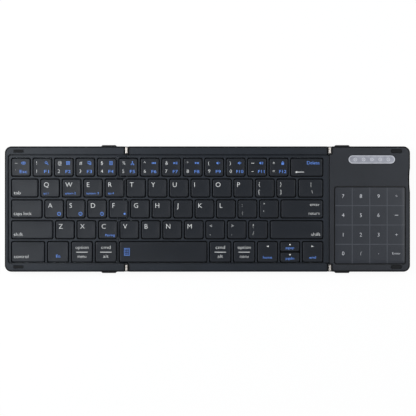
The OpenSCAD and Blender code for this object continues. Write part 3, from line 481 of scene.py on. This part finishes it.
def printed(rows, x0, x1, y0, y1, height_at):
    """Turns a legend's rows into chunks on the rectangle x0..x1, y0..y1.

    A negative base line or y is measured from the front edge instead of the rear one.
    """
    chunks = []
    for kind, what, x, y, size, wide, ink, side in rows:
        px = {"left": x0 + x, "over": x0 + x, "right": x1 - x,
              "middle": (x0 + x1) / 2 + x}[side]
        py = y1 - y if y >= 0 else y0 - y
        if kind == "word":
            points, faces = LETTERS[what]
            left, right = points[:, 0].min(), points[:, 0].max()
            stretch = wide / (right - left) if wide else size
            shift = {"left": left, "right": right}.get(side, (left + right) / 2)
            flat = np.column_stack([px + (points[:, 0] - shift) * stretch,
                                    py + points[:, 1] * size])
            up = points[:, 2] > 0
            z = height_at(flat) + np.where(up, INK_UP, -INK_DOWN)
            chunks.append((np.column_stack([flat, z]), faces.tolist(), ink))
            continue
        for path, bar, closed in SIGNS[what]:
            path = np.asarray(path, float) * size + [px, py]
            if bar is None:
                points, faces = prism(path, -INK_DOWN, INK_UP)
            else:
                points, faces = band(path, bar * size, -INK_DOWN, INK_UP, closed)
            points[:, 2] += height_at(points[:, :2])
            chunks.append((points, faces, ink))
    return chunks


# ---------------------------------------------------------------- keycaps

CAP_WALL = 1.0      # skirt wall
CAP_EDGE = 0.45     # radius of the top's rounded edge
CAP_TAPER = 0.15    # lean of the sides
CAP_CORNER = 1.3    # corner radius in plan
CAP_STEPS = 4       # chords in the arc of each corner
CAP_DISH = 0.12     # depth of the dished top
CAP_POCKET = 0.85   # thickness of the top over the pocket
CAP_FOOT = 0.08     # chamfer around the skirt's outer foot
LONG_KEY = 30.0     # caps from this width on get more points along their sides
KEY_GAP = 2.4       # gap between neighbouring caps of a row


def dish(flat, cx, cy, width, depth):
    """Share of the dish's depth at a point: (1 - u^4)(1 - v^2), u and v from -1 to 1."""
    u = np.clip((flat[:, 0] - cx) / (width / 2), -1, 1)
    v = np.clip((flat[:, 1] - cy) / (depth / 2), -1, 1)
    return (1 - u ** 4) * (1 - v ** 2)


def keycap(x0, x1, y0, y1, low, high):
    """One cap: rings from the pocket, over the skirt, up the sides and edge, into the dish.

    The edge is a quarter circle of radius CAP_EDGE, and the top lies at high - CAP_DISH
    times dish(). Also gives the function for that height.
    """
    width, depth, cx, cy = x1 - x0, y1 - y0, (x0 + x1) / 2, (y0 + y1) / 2
    bend = np.radians([0, 22.5, 45, 67.5, 90])
    inset = CAP_TAPER + CAP_EDGE * (1 - np.cos(bend))
    rise = high - CAP_EDGE + CAP_EDGE * np.sin(bend)
    profile = [(CAP_WALL + 0.25, high - CAP_POCKET), (CAP_WALL, low + 0.02),
               (CAP_WALL - 0.1, low), (CAP_FOOT, low), (0.0, low + CAP_FOOT),
               *zip(inset, rise)]
    rings = []
    along = 5 if width < LONG_KEY else 15
    for ins, z in profile:
        ring = rounded_ring(width - 2 * ins, depth - 2 * ins, max(CAP_CORNER - ins, 0.25),
                            CAP_STEPS, along)
        rings.append(np.column_stack([ring + [cx, cy], np.full(len(ring), z)]))
    rim = rings[-1][:, :2] - [cx, cy]
    inner = inset[-1]

    def height_at(flat):
        return high - CAP_DISH * dish(flat, cx, cy, width - 2 * inner, depth - 2 * inner)

    for share in (0.96, 0.9, 0.82, 0.72, 0.6, 0.45, 0.25):
        flat = rim * share + [cx, cy]
        rings.append(np.column_stack([flat, height_at(flat)]))
    points, faces = lofted(rings)
    points[-1, 2] = high - CAP_DISH
    worn = dish(points[:, :2], cx, cy, width, depth) * (points[:, 2] > high - CAP_EDGE)
    return (points, faces, 0, worn), height_at


def letter(text):
    """A letter key: one capital at the rear left."""
    return [word(text, 2.25, 5.8, 3.4)]


def number(upper, lower, icon, label, label_width, blue_x=10.0):
    """A number key: two white characters, with a blue sign and label in a column at blue_x."""
    top = [sign("dash", 3.5, 3.6, 2.4)] if upper == "_" else [
        word(upper, 2.4, 4.7, 2.5, 2.9 if upper == "@" else None)]
    under = [sign("dash", 3.5, 9.9, 1.7)] if lower == "-" else [word(lower, 2.4, 10.9, 2.5)]
    return top + under + [sign(icon, blue_x, 3.5, 2.8, BLUE),
                          word(label, blue_x, 11.0, 2.2, label_width, BLUE, "over")]


def pair(upper, lower, x=2.8):
    """A punctuation key: one character above the other, both from x rightwards."""
    return [word(upper, x, 5.0, 2.6), word(lower, x, 10.6, 2.6)]


def two_words(upper, upper_width, lower, lower_width):
    """A modifier key: two words, with a line between them."""
    return [word(upper, 0, 5.3, 2.35, upper_width, WHITE, "middle"),
            sign("rule", 0, 7.8, 8.6, WHITE, "middle"),
            word(lower, 0, 12.1, 2.35, lower_width, WHITE, "middle")]


def with_blue(rows, text, width):
    """Adds a small blue word under a letter."""
    return rows + [word(text, 1.9, 11.3, 1.5, width, BLUE)]


def with_ring(rows, digit):
    """Adds a blue ring, with its digit, at the front right of a letter key."""
    return rows + [sign("ring", 10.5, 10.3, 2.8, BLUE),
                   word(digit, 10.5, 10.95, 1.3, None, BLUE, "over")]


# The legends of each node's keys from left to right, every key a list of rows. Widths and
# places are in mm on the cap.
LEGENDS = {
    "number_keys_left": [
        number("~", "`", "eye", "Esc", 5.6, 8.8), number("!", "1", "magnifier", "F1", 3.6),
        number("@", "2", "grid", "F2", 3.8), number("#", "3", "copy", "F3", 3.8),
        number("$", "4", "page", "F4", 3.8)],
    "number_keys_centre": [
        number("%", "5", "cut", "F5", 3.8), number("^", "6", "previous", "F6", 3.8),
        number("&", "7", "play", "F7", 3.8), number("*", "8", "next", "F8", 3.8),
        number("(", "9", "mute", "F9", 3.8), number(")", "0", "quiet", "F10", 5.2),
        number("_", "-", "loud", "F11", 4.8), number("+", "=", "padlock", "F12", 5.2)],
    "delete_key": [[word("Delete", 2.4, 4.5, 2.4, 9.3, BLUE, "right"),
                    sign("back", 6.4, 10.3, 6.8, WHITE)]],
    "tab_key": [[word("tab", 1.5, 11.3, 2.4, 5.2)]],
    "caps_lock_key": [[word("caps lock", 1.5, 11.3, 2.4, 13.4)]],
    "left_shift_key": [[word("shift", 1.5, 11.3, 2.4, 6.8)]],
    "control_key": [[word("control", 1.7, -3.1, 2.4, 10.8)]],
    "function_key": [[word("fn", 0, -3.4, 2.3, 3.2, BLUE, "middle")]],
    "left_option_key": [two_words("option", 9.8, "menu", 6.4)],
    "left_command_key": [two_words("cmd", 7.0, "alt", 4.0)],
    "right_modifier_keys": [
        two_words("cmd", 7.0, "alt", 4.0), two_words("option", 9.8, "menu", 6.4)],
    "letter_keys_q_to_r": [
        with_blue(letter("Q"), "sys 1", 3.6), with_blue(letter("W"), "system 2", 8.1),
        with_blue(letter("E"), "system 3", 9.2), with_blue(letter("R"), "sys 4", 4.4)],
    "letter_keys_a_to_f": [
        with_ring(letter("A"), "1"), with_ring(letter("S"), "2"), with_ring(letter("D"), "3"),
        letter("F") + [sign("disc", 11.4, 10.3, 1.5, BLUE)]],
    "letter_keys_z_to_c": [
        letter("Z"), letter("X"), letter("C") + [word("Pairing", 4.9, 11.5, 1.6, 7.2, BLUE)]],
    "letter_keys_t_to_bracket": [
        *map(letter, "TYUIOP"), pair("{", "[", 2.2), pair("}", "]", 2.2)],
    "letter_keys_g_to_quote": [*map(letter, "GHJKL"), pair(":", ";"), pair('"', "'")],
    "letter_keys_v_to_slash": [
        *map(letter, "VBNM"), pair("<", ","), pair(">", "."), pair("?", "/")],
    "backslash_key": [[word("|", 0.2, 5.0, 2.6, None, WHITE, "middle"),
                       word("\\", 1.2, 10.8, 2.6, None, WHITE, "middle")]],
    "enter_key": [[word("enter", 2.3, 4.4, 2.2, 7.2, WHITE, "right"),
                   word("return", 2.2, 11.0, 2.2, 8.2, WHITE, "right")]],
    "right_shift_key": [[word("shift", 1.8, 11.2, 2.4, 6.8, WHITE, "right")]],
    "space_bar": [[sign("pad", 5.6, 7.6, 5.3, BLUE)]],
    "left_arrow_key": [[sign("left", 0, 3.4, 1.8, WHITE, "middle"),
                        word("home", 0, 12.7, 1.9, 6.7, BLUE, "middle")]],
    "right_arrow_key": [[sign("right", 0, 3.4, 1.8, WHITE, "middle"),
                         word("end", 0, 12.7, 1.9, 5.0, BLUE, "middle")]],
    "up_arrow_key": [[sign("up", 0, 1.9, 1.5, WHITE, "middle"),
                      word("pgup", 0, 5.3, 1.7, 6.2, BLUE, "middle")]],
    "down_arrow_key": [[sign("down", 0, 1.8, 1.5, WHITE, "middle"),
                        word("pgdn", 0, 5.2, 1.7, 6.2, BLUE, "middle")]],
}

# The touch surface's number pad, in mm from the surface's middle; E stands for Enter
TOUCH_COLUMNS = (-20.1, -6.8, 6.5, 20.0)
TOUCH_ROWS = (22.0, 7.7, -7.0, -21.1)
TOUCH_SIGNS = ("789*", "456-", "123+", "0/.E")
TOUCH_LINES_X = (-13.3, -0.05, 13.0)
TOUCH_LINES_Y = (14.9, 0.3, -14.2)
TOUCH_HEIGHT = 2.7                  # capital height of its signs
TOUCH_DASH = 2.6                    # width of its minus sign
TOUCH_DROP = 1.35                   # from a row's middle line down to the base line
TOUCH_DROPS = {"*": 1.9, ".": 0.4}  # the same for the two signs that stand off that line
ENTER_DROP, ENTER_HEIGHT, ENTER_WIDTH = 0.8, 1.7, 6.2

LETTERS = cut_letters(
    {c: WHITE for c in ("H", "Enter", *"".join(TOUCH_SIGNS))}
    | {what: ink for keys in LEGENDS.values() for rows in keys
       for kind, what, *_, ink, side in rows if kind == "word"})

for node, legends in LEGENDS.items():
    low, high = (np.array(corner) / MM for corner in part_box(node))
    count = len(legends)
    width = (high[0] - low[0] - (count - 1) * KEY_GAP) / count
    chunks = []
    for number_in_row, rows in enumerate(legends):
        x0 = low[0] + number_in_row * (width + KEY_GAP)
        cap, height_at = keycap(x0, x0 + width, low[1], high[1], low[2], high[2])
        chunks += [cap] + printed(rows, x0, x0 + width, low[1], high[1], height_at)
    piece(node + "_caps", chunks, [CAP, INK_WHITE, INK_BLUE], node, node)

# ---------------------------------------------------------------- touch surface and window

PLATE_FOOT = 0.02  # chamfer around a plate's foot
PLATE_STEPS = 10   # chords in the arc of each of its corners


def plate(x0, x1, y0, y1, z0, z1, corner, edge, crown=0.0):
    """A plate whose top edge is a quarter circle of radius edge.

    Its top lies at z1 - crown * share^2, share being 0 in the middle and 1 at the rim.
    """
    cx, cy = (x0 + x1) / 2, (y0 + y1) / 2
    bend = np.radians([0, 30, 60, 90])
    profile = [(PLATE_FOOT, z0), (0.0, z0 + PLATE_FOOT),
               *zip(edge * (1 - np.cos(bend)), z1 - crown - edge * (1 - np.sin(bend)))]
    rings = []
    for inset, z in profile:
        ring = rounded_ring(x1 - x0 - 2 * inset, y1 - y0 - 2 * inset,
                            max(corner - inset, 0.1), PLATE_STEPS)
        rings.append(np.column_stack([ring + [cx, cy], np.full(len(ring), z)]))
    rim = rings[-1][:, :2] - [cx, cy]
    for share in (0.9, 0.7, 0.4):
        rings.append(np.column_stack([rim * share + [cx, cy],
                                      np.full(len(rim), z1 - crown * share ** 2)]))
    points, faces = lofted(rings)
    points[-1, 2] = z1
    return points, faces


def flat_at(z):
    """Height function of a flat surface."""
    return lambda flat: np.full(len(flat), z)


# the third finish is painted shade: black on the touch surface's rounded edge and sides
GRID, GREY, SHADE_BLACK = 1, 2, 3          # finish numbers on the touch surface
TOUCH_CORNER, TOUCH_EDGE = 1.5, 0.4  # its corner in plan and its rounded top edge
GRID_WIDTH, GRID_MARGIN = 0.4, 0.5   # its printed lines, and how far they end from its sides

low, high = (np.array(corner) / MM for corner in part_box("touchpad_face"))
cx, cy = (low[0] + high[0]) / 2, (low[1] + high[1]) / 2
points, faces = plate(low[0], high[0], low[1], high[1], low[2], high[2],
                      TOUCH_CORNER, TOUCH_EDGE)
# All but the flat top is painted black as painted shade, for the dark outline of a shaded edge:
# each face that reaches below the top
shaded_edge_finish = np.where([min(points[i, 2] for i in face) < high[2] - 1e-6 for face in faces],
                       SHADE_BLACK, 0)
chunks = [(points, faces, shaded_edge_finish)]
lines = [[(cx + x, low[1] + GRID_MARGIN), (cx + x, high[1] - GRID_MARGIN)]
         for x in TOUCH_LINES_X]
lines += [[(low[0] + GRID_MARGIN, cy + y), (high[0] - GRID_MARGIN, cy + y)]
          for y in TOUCH_LINES_Y]
for line in lines:
    chunks.append((*band(line, GRID_WIDTH, high[2] - INK_DOWN, high[2] + INK_UP / 2), GRID))
rows = []
for y, signs in zip(TOUCH_ROWS, TOUCH_SIGNS):
    for x, what in zip(TOUCH_COLUMNS, signs):
        down = (high[1] - cy) - y
        if what == "-":
            rows.append(sign("dash", x, down, TOUCH_DASH, GREY, "middle"))
        elif what == "E":
            rows.append(word("Enter", x, down + ENTER_DROP, ENTER_HEIGHT, ENTER_WIDTH,
                             GREY, "middle"))
        else:
            rows.append(word(what, x, down + TOUCH_DROPS.get(what, TOUCH_DROP), TOUCH_HEIGHT,
                             None, GREY, "middle"))
chunks += printed(rows, low[0], high[0], low[1], high[1], flat_at(high[2]))
piece("touch_surface", chunks, [TOUCH, INK_GRID, INK_GREY, SHELL], "right_wing",
      "touchpad_face")

SILVER = 1                             # finish number of the light window's print
WINDOW_EDGE, WINDOW_CROWN = 0.35, 0.1  # its rounded edge, and the rise of its top
HALF_ROUND = 0.01                      # how far its ends' radius stays under half its depth
OUTLINE_WIDTH = 0.35                   # the printed line that runs around it
OUTLINE_INSET = 0.5                    # that line's distance from the window's sides
OUTLINE_BELOW = (0.15, 0.02)           # that line's foot and top, below the window's top
LAMPS = (-12.4, -6.2, 0, 6.2, 12.4)    # the five rings, from its middle
LAMP_SIZE = 2.2

low, high = (np.array(corner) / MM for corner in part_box("status_window"))
depth = high[1] - low[1]
chunks = [(*plate(low[0], high[0], low[1], high[1], low[2], high[2],
                  depth / 2 - HALF_ROUND, WINDOW_EDGE, WINDOW_CROWN), 0)]
ring = rounded_ring(high[0] - low[0] - 2 * OUTLINE_INSET, depth - 2 * OUTLINE_INSET,
                    depth / 2 - OUTLINE_INSET - 2 * HALF_ROUND, PLATE_STEPS)
ring += [(low[0] + high[0]) / 2, (low[1] + high[1]) / 2]
foot, top = (high[2] - below for below in OUTLINE_BELOW)
chunks.append((*band(ring, OUTLINE_WIDTH, foot, top, True), SILVER))
rows = [sign("lamp", x, depth / 2, LAMP_SIZE, SILVER, "middle") for x in LAMPS]
chunks += printed(rows, low[0], high[0], low[1], high[1], flat_at(top))
piece("light_window", chunks, [WINDOW, INK_SILVER], "right_wing", "status_window")

# ---------------------------------------------------------------- dressed solids

DOUBLES = 2e-6                    # points nearer than this, in metres, become one
ROUND_FROM = math.radians(50)     # edges that turn by more than this are rounded
SMOOTH_WITHIN = math.radians(46)  # faces that turn by less than this are shaded as one


def smooth_corners(mesh):
    """Gives every face corner the mean normal of the faces around its vertex.

    Only faces within SMOOTH_WITHIN of the corner's own face count, each by its area, so
    that flat faces stay flat up to their rounded edges.
    """
    face = np.repeat(np.arange(len(mesh.polygons)),
                     values(mesh.polygons, "loop_total", np.int32))
    vertex = values(mesh.loops, "vertex_index", np.int32)
    order = np.argsort(vertex, kind="stable")
    vertex, face = vertex[order], face[order]
    normal = values(mesh.polygons, "normal", np.float32, 3)[face].astype(float)
    pull = normal * values(mesh.polygons, "area", np.float32)[face, None]
    total, step = pull.copy(), 1
    while np.any(same := vertex[step:] == vertex[:-step]):
        near = same & (np.sum(normal[step:] * normal[:-step], axis=1) > math.cos(SMOOTH_WITHIN))
        total[step:][near] += pull[:-step][near]
        total[:-step][near] += pull[step:][near]
        step += 1
    corners = np.empty_like(total)
    corners[order] = total / np.linalg.norm(total, axis=1)[:, None].clip(1e-30)
    mesh.normals_split_custom_set(corners.tolist())


def dressed(node, finish, radius, boxes=(), inside=None):
    """The node's solid with its doubles merged and its edges rounded.

    Its skin is cut along the four upright sides of each box (x0, x1, y0, y1, z0, z1), and
    the faces whose middle is in a box get the finish inside.
    """
    source = frame["nodes"][node]
    skin = bmesh.new()
    skin.from_mesh(source.data)
    bmesh.ops.remove_doubles(skin, verts=skin.verts, dist=DOUBLES)
    for box in boxes:
        for side, value in enumerate(box[:4]):
            place, normal = Vector(), Vector()
            place[side // 2], normal[side // 2] = value * MM, 1.0
            bmesh.ops.bisect_plane(skin, geom=[*skin.verts, *skin.edges, *skin.faces],
                                   plane_co=place, plane_no=normal)
    mesh = bpy.data.meshes.new(node + "_dressed")
    skin.to_mesh(mesh)
    skin.free()
    mesh.materials.append(finish)
    if boxes:
        mesh.materials.append(inside)
        middle = values(mesh.polygons, "center", np.float32, 3) / MM
        within = np.zeros(len(middle), bool)
        for box in boxes:
            within |= np.all((middle > box[0::2]) & (middle < box[1::2]), axis=1)
        mesh.polygons.foreach_set("material_index", within.astype(np.int32))
    mesh.shade_smooth()
    obj = placed(node + "_dressed", mesh)
    if radius:
        bevel = obj.modifiers.new("rounded_edges", "BEVEL")
        bevel.width, bevel.segments, bevel.limit_method = radius * MM, 2, "ANGLE"
        bevel.angle_limit, bevel.use_clamp_overlap = ROUND_FROM, False
        bevel.loop_slide = False
        graph = bpy.context.evaluated_depsgraph_get()
        obj.data = bpy.data.meshes.new_from_object(obj.evaluated_get(graph))
        obj.modifiers.clear()
    smooth_corners(obj.data)
    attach(obj, source["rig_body"])
    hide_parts(node)


for node, finish, radius, slot in (
        ("left_top_frame", FRAME, 0.15, "frame_plastic"),
        ("centre_top_frame", FRAME, 0.15, "frame_plastic"),
        ("right_top_cover", COVER, 0.2, "cover_plastic"),
        ("left_base_shell", SHELL, 0.2, "dark_shell"),
        ("centre_base_shell", SHELL, 0.2, "dark_shell"),
        ("right_base_shell", SHELL, 0.2, "dark_shell"),
        ("left_foot_strip", RUBBER, 0.2, "foot_rubber"),
        ("right_foot_strip", RUBBER, 0.2, "foot_rubber"),
        ("centre_feet", RUBBER, 0.2, "foot_rubber"),
        ("left_bumper_pads", RUBBER, 0.12, "foot_rubber"),
        ("right_bumper_pads", RUBBER, 0.12, "foot_rubber"),
        ("power_switch_knob", KNOB, 0.12, "knob_plastic"),
        ("charging_socket", SOCKET, 0.05, "socket_shell")):
    dressed(node, finish, radius)

# A painted highlight: a stripe of bright nickel colour along the top of each hinge barrel, where
# a round barrel would catch the light, with the rest of the barrel left black as painted shade
HIGHLIGHT_HALF = 0.65        # half the width of the bright crest on each hinge barrel
HIGHLIGHT_UP = (1.2, 3.0)    # its foot and top over the hinge axis
HIGHLIGHT_ENDS = (1.6, 6.2)  # its two ends, from the front or rear end of the whole object
front, rear = cad_box[0][1] / MM, cad_box[1][1] / MM
for joint in frame["joints"][:2]:  # the folds of the left and the right wing
    side = joint["name"].split("_")[0]
    x, _, z = (value / MM for value in joint["pos_m"])
    across = (x - HIGHLIGHT_HALF, x + HIGHLIGHT_HALF)
    up = (z + HIGHLIGHT_UP[0], z + HIGHLIGHT_UP[1])
    highlights = [(*across, front + HIGHLIGHT_ENDS[0], front + HIGHLIGHT_ENDS[1], *up),
              (*across, rear - HIGHLIGHT_ENDS[1], rear - HIGHLIGHT_ENDS[0], *up)]
    # the leaves are black, and inside the boxes they get the painted highlight
    for panel in ("centre", "wing"):
        dressed(f"{side}_hinge_{panel}_leaves", LEAF, 0, highlights, HIGHLIGHT_NICKEL)

# CAD nodes whose shape is right and that keep their mesh
for node, finish in {
        "centre_switch_plate": PLATE, "left_switch_plate": PLATE, "centre_membrane": SHADE_FILM,
        "left_membrane": SHADE_FILM, "centre_rubber_domes": DOME, "left_rubber_domes": DOME,
        "centre_scissor_links": LINK, "left_scissor_links": LINK, "centre_screws": SCREW,
        "left_screws": SCREW, "right_screws": SCREW, "left_hinge_pins": PIN,
        "right_hinge_pins": PIN, "touchpad_board": TOUCH_BOARD, "main_board": BOARD,
        "battery": FOIL}.items():
    for place in frame["nodes"][node].material_slots:
        place.material = finish

# ---------------------------------------------------------------- stage, light and camera

FLOOR_HALF = 3.0    # half the floor's width, in metres
SKY_REACH = 5 * MM  # how far around it a point of the floor looks for the object
NEAR = 12 * MM      # longer than any ray from the underside to the floor
# from the share of open sky over a point of the floor to the share of its light
SKY_TO_GLOW = {"From Min": 0.1, "From Max": 0.45, "To Max": 0.93}


def stage_floor():
    """A white floor: a plate of light to the eye, thinned by the object's own shadow.

    Diffuse white takes the shadow; the emission of 1 is mixed in for rays from the camera,
    from gloss and through clear pieces, so that the open floor is plain white there. Under
    the object, where little of the room is seen from the floor, the emission fades away.
    From below the floor is clear, and so it is for rays shorter than NEAR, which leave the
    underside: the underside can be looked at and takes the room's light.
    """
    mesh = bpy.data.meshes.new("studio_floor")
    corners = box_path(-FLOOR_HALF, -FLOOR_HALF, FLOOR_HALF, FLOOR_HALF)
    mesh.from_pydata([(x, y, 0) for x, y in corners], [], [(0, 1, 2, 3)])
    made, tree, out = new_tree("white_paper_floor")
    seen = add(tree, "ShaderNodeLightPath").outputs
    both = add(tree, "ShaderNodeMath", {0: seen["Is Camera Ray"], 1: seen["Is Glossy Ray"]},
               operation="MAXIMUM")
    every = add(tree, "ShaderNodeMath", {0: both.outputs[0], 1: seen["Is Transmission Ray"]},
                operation="MAXIMUM")
    sky = add(tree, "ShaderNodeAmbientOcclusion", {"Distance": SKY_REACH}, samples=8)
    open_sky = add(tree, "ShaderNodeMapRange", {"Value": sky.outputs["AO"], **SKY_TO_GLOW})
    share = add(tree, "ShaderNodeMath", {0: every.outputs[0], 1: open_sky.outputs[0]},
                operation="MULTIPLY")
    paper = add(tree, "ShaderNodeBsdfDiffuse", {"Color": linear("#F2F2F2")})
    glow = add(tree, "ShaderNodeEmission", {"Color": (1, 1, 1, 1), "Strength": 1.0})
    mixed = add(tree, "ShaderNodeMixShader", {0: share.outputs[0], 1: paper.outputs[0],
                                              2: glow.outputs[0]})
    near = add(tree, "ShaderNodeMath", {0: seen["Ray Length"], 1: NEAR}, operation="LESS_THAN")
    clear = add(tree, "ShaderNodeMath", {
        0: add(tree, "ShaderNodeNewGeometry").outputs["Backfacing"], 1: near.outputs[0]},
        operation="MAXIMUM")
    whole = add(tree, "ShaderNodeMixShader", {
        0: clear.outputs[0], 1: mixed.outputs[0],
        2: add(tree, "ShaderNodeBsdfTransparent").outputs[0]})
    tree.links.new(whole.outputs[0], out.inputs[0])
    mesh.materials.append(made)
    floor = placed("studio_floor", mesh)


# from the height of a ray, 0 at the horizon and 1 straight up, to the room's strength for
# the object, and to how far gloss sees the room as white
RISE_TO_ROOM = {"From Min": 0.35, "From Max": 0.9, "To Min": 0.8, "To Max": 0.25}
RISE_TO_WALL = {"From Min": 0.35, "From Max": 0.75, "To Min": 1.0, "To Max": 0.0}


def studio_world():
    """A pale room, brighter at its walls than overhead, and white to the camera.

    The strength falls from the walls to the ceiling with the height of the ray, and gloss
    sees the walls as white as the camera does.
    """
    world = bpy.data.worlds.new("pale_studio")
    bpy.context.scene.world = world
    world.use_nodes = True
    tree = world.node_tree
    tree.nodes.clear()
    where = add(tree, "ShaderNodeTexCoord").outputs["Generated"]
    rise = add(tree, "ShaderNodeSeparateXYZ", {0: where}).outputs[2]
    room = add(tree, "ShaderNodeMapRange", {"Value": rise, **RISE_TO_ROOM})
    seen = add(tree, "ShaderNodeLightPath").outputs
    clear = add(tree, "ShaderNodeMath",
                {0: seen["Is Camera Ray"], 1: seen["Is Transmission Ray"]},
                operation="MAXIMUM")
    wall = add(tree, "ShaderNodeMapRange", {"Value": rise, **RISE_TO_WALL})
    gloss = add(tree, "ShaderNodeMath", {0: seen["Is Glossy Ray"], 1: wall.outputs[0]},
                operation="MULTIPLY")
    share = add(tree, "ShaderNodeMath", {0: clear.outputs[0], 1: gloss.outputs[0]},
                operation="MAXIMUM")
    level = add(tree, "ShaderNodeMix", {"Factor": share.outputs[0], "A": room.outputs[0],
                                        "B": 1.0}, data_type="FLOAT")
    back = add(tree, "ShaderNodeBackground", {"Color": (1, 1, 1, 1),
                                              "Strength": level.outputs["Result"]})
    out = add(tree, "ShaderNodeOutputWorld")
    tree.links.new(back.outputs[0], out.inputs[0])


SOFTBOX_SIZE = (0.3, 0.6)          # metres
SOFTBOX_LIGHT = (0.93, 0.97, 1.0)  # a cool white, linear


def softbox(name, place, aim, watts):
    """A rectangular lamp at place, turned towards aim, both in metres."""
    lamp = bpy.data.lights.new(name, "AREA")
    lamp.shape, lamp.energy, lamp.color = "RECTANGLE", watts, SOFTBOX_LIGHT
    lamp.size, lamp.size_y = SOFTBOX_SIZE
    obj = placed(name, lamp)
    obj.visible_camera = False
    obj.location = place
    obj.rotation_euler = (Vector(aim) - Vector(place)).to_track_quat("-Z", "Y").to_euler()


stage_floor()
studio_world()
softbox("left_softbox", (-0.40, 0.12, 0.42), (-0.14, 0.03, 0), 2.8)
softbox("right_softbox", (0.46, 0.10, 0.42), (0.14, 0, 0), 1.6)

RIM_TOP = 8.0 * MM                   # the plane in which the framing is measured
CAMERA_RISE = 1.2                    # camera above that plane, in metres
CAMERA_SIDE = (0.43 * MM, 0.8 * MM)  # camera beside the object's origin, in x and y
PICTURE_WIDTH = 313.05 * MM          # what the picture shows across in that plane
SENSOR = 36.0                        # the camera's film width, in its own millimetres
camera = bpy.data.cameras.new("photo_camera")
camera.sensor_width = SENSOR
camera.lens = SENSOR * CAMERA_RISE / PICTURE_WIDTH
eye = placed("photo_camera", camera)
eye.location = (*CAMERA_SIDE, RIM_TOP + CAMERA_RISE)
bpy.context.scene.camera = eye
bpy.context.scene.view_settings.view_transform = "Standard"
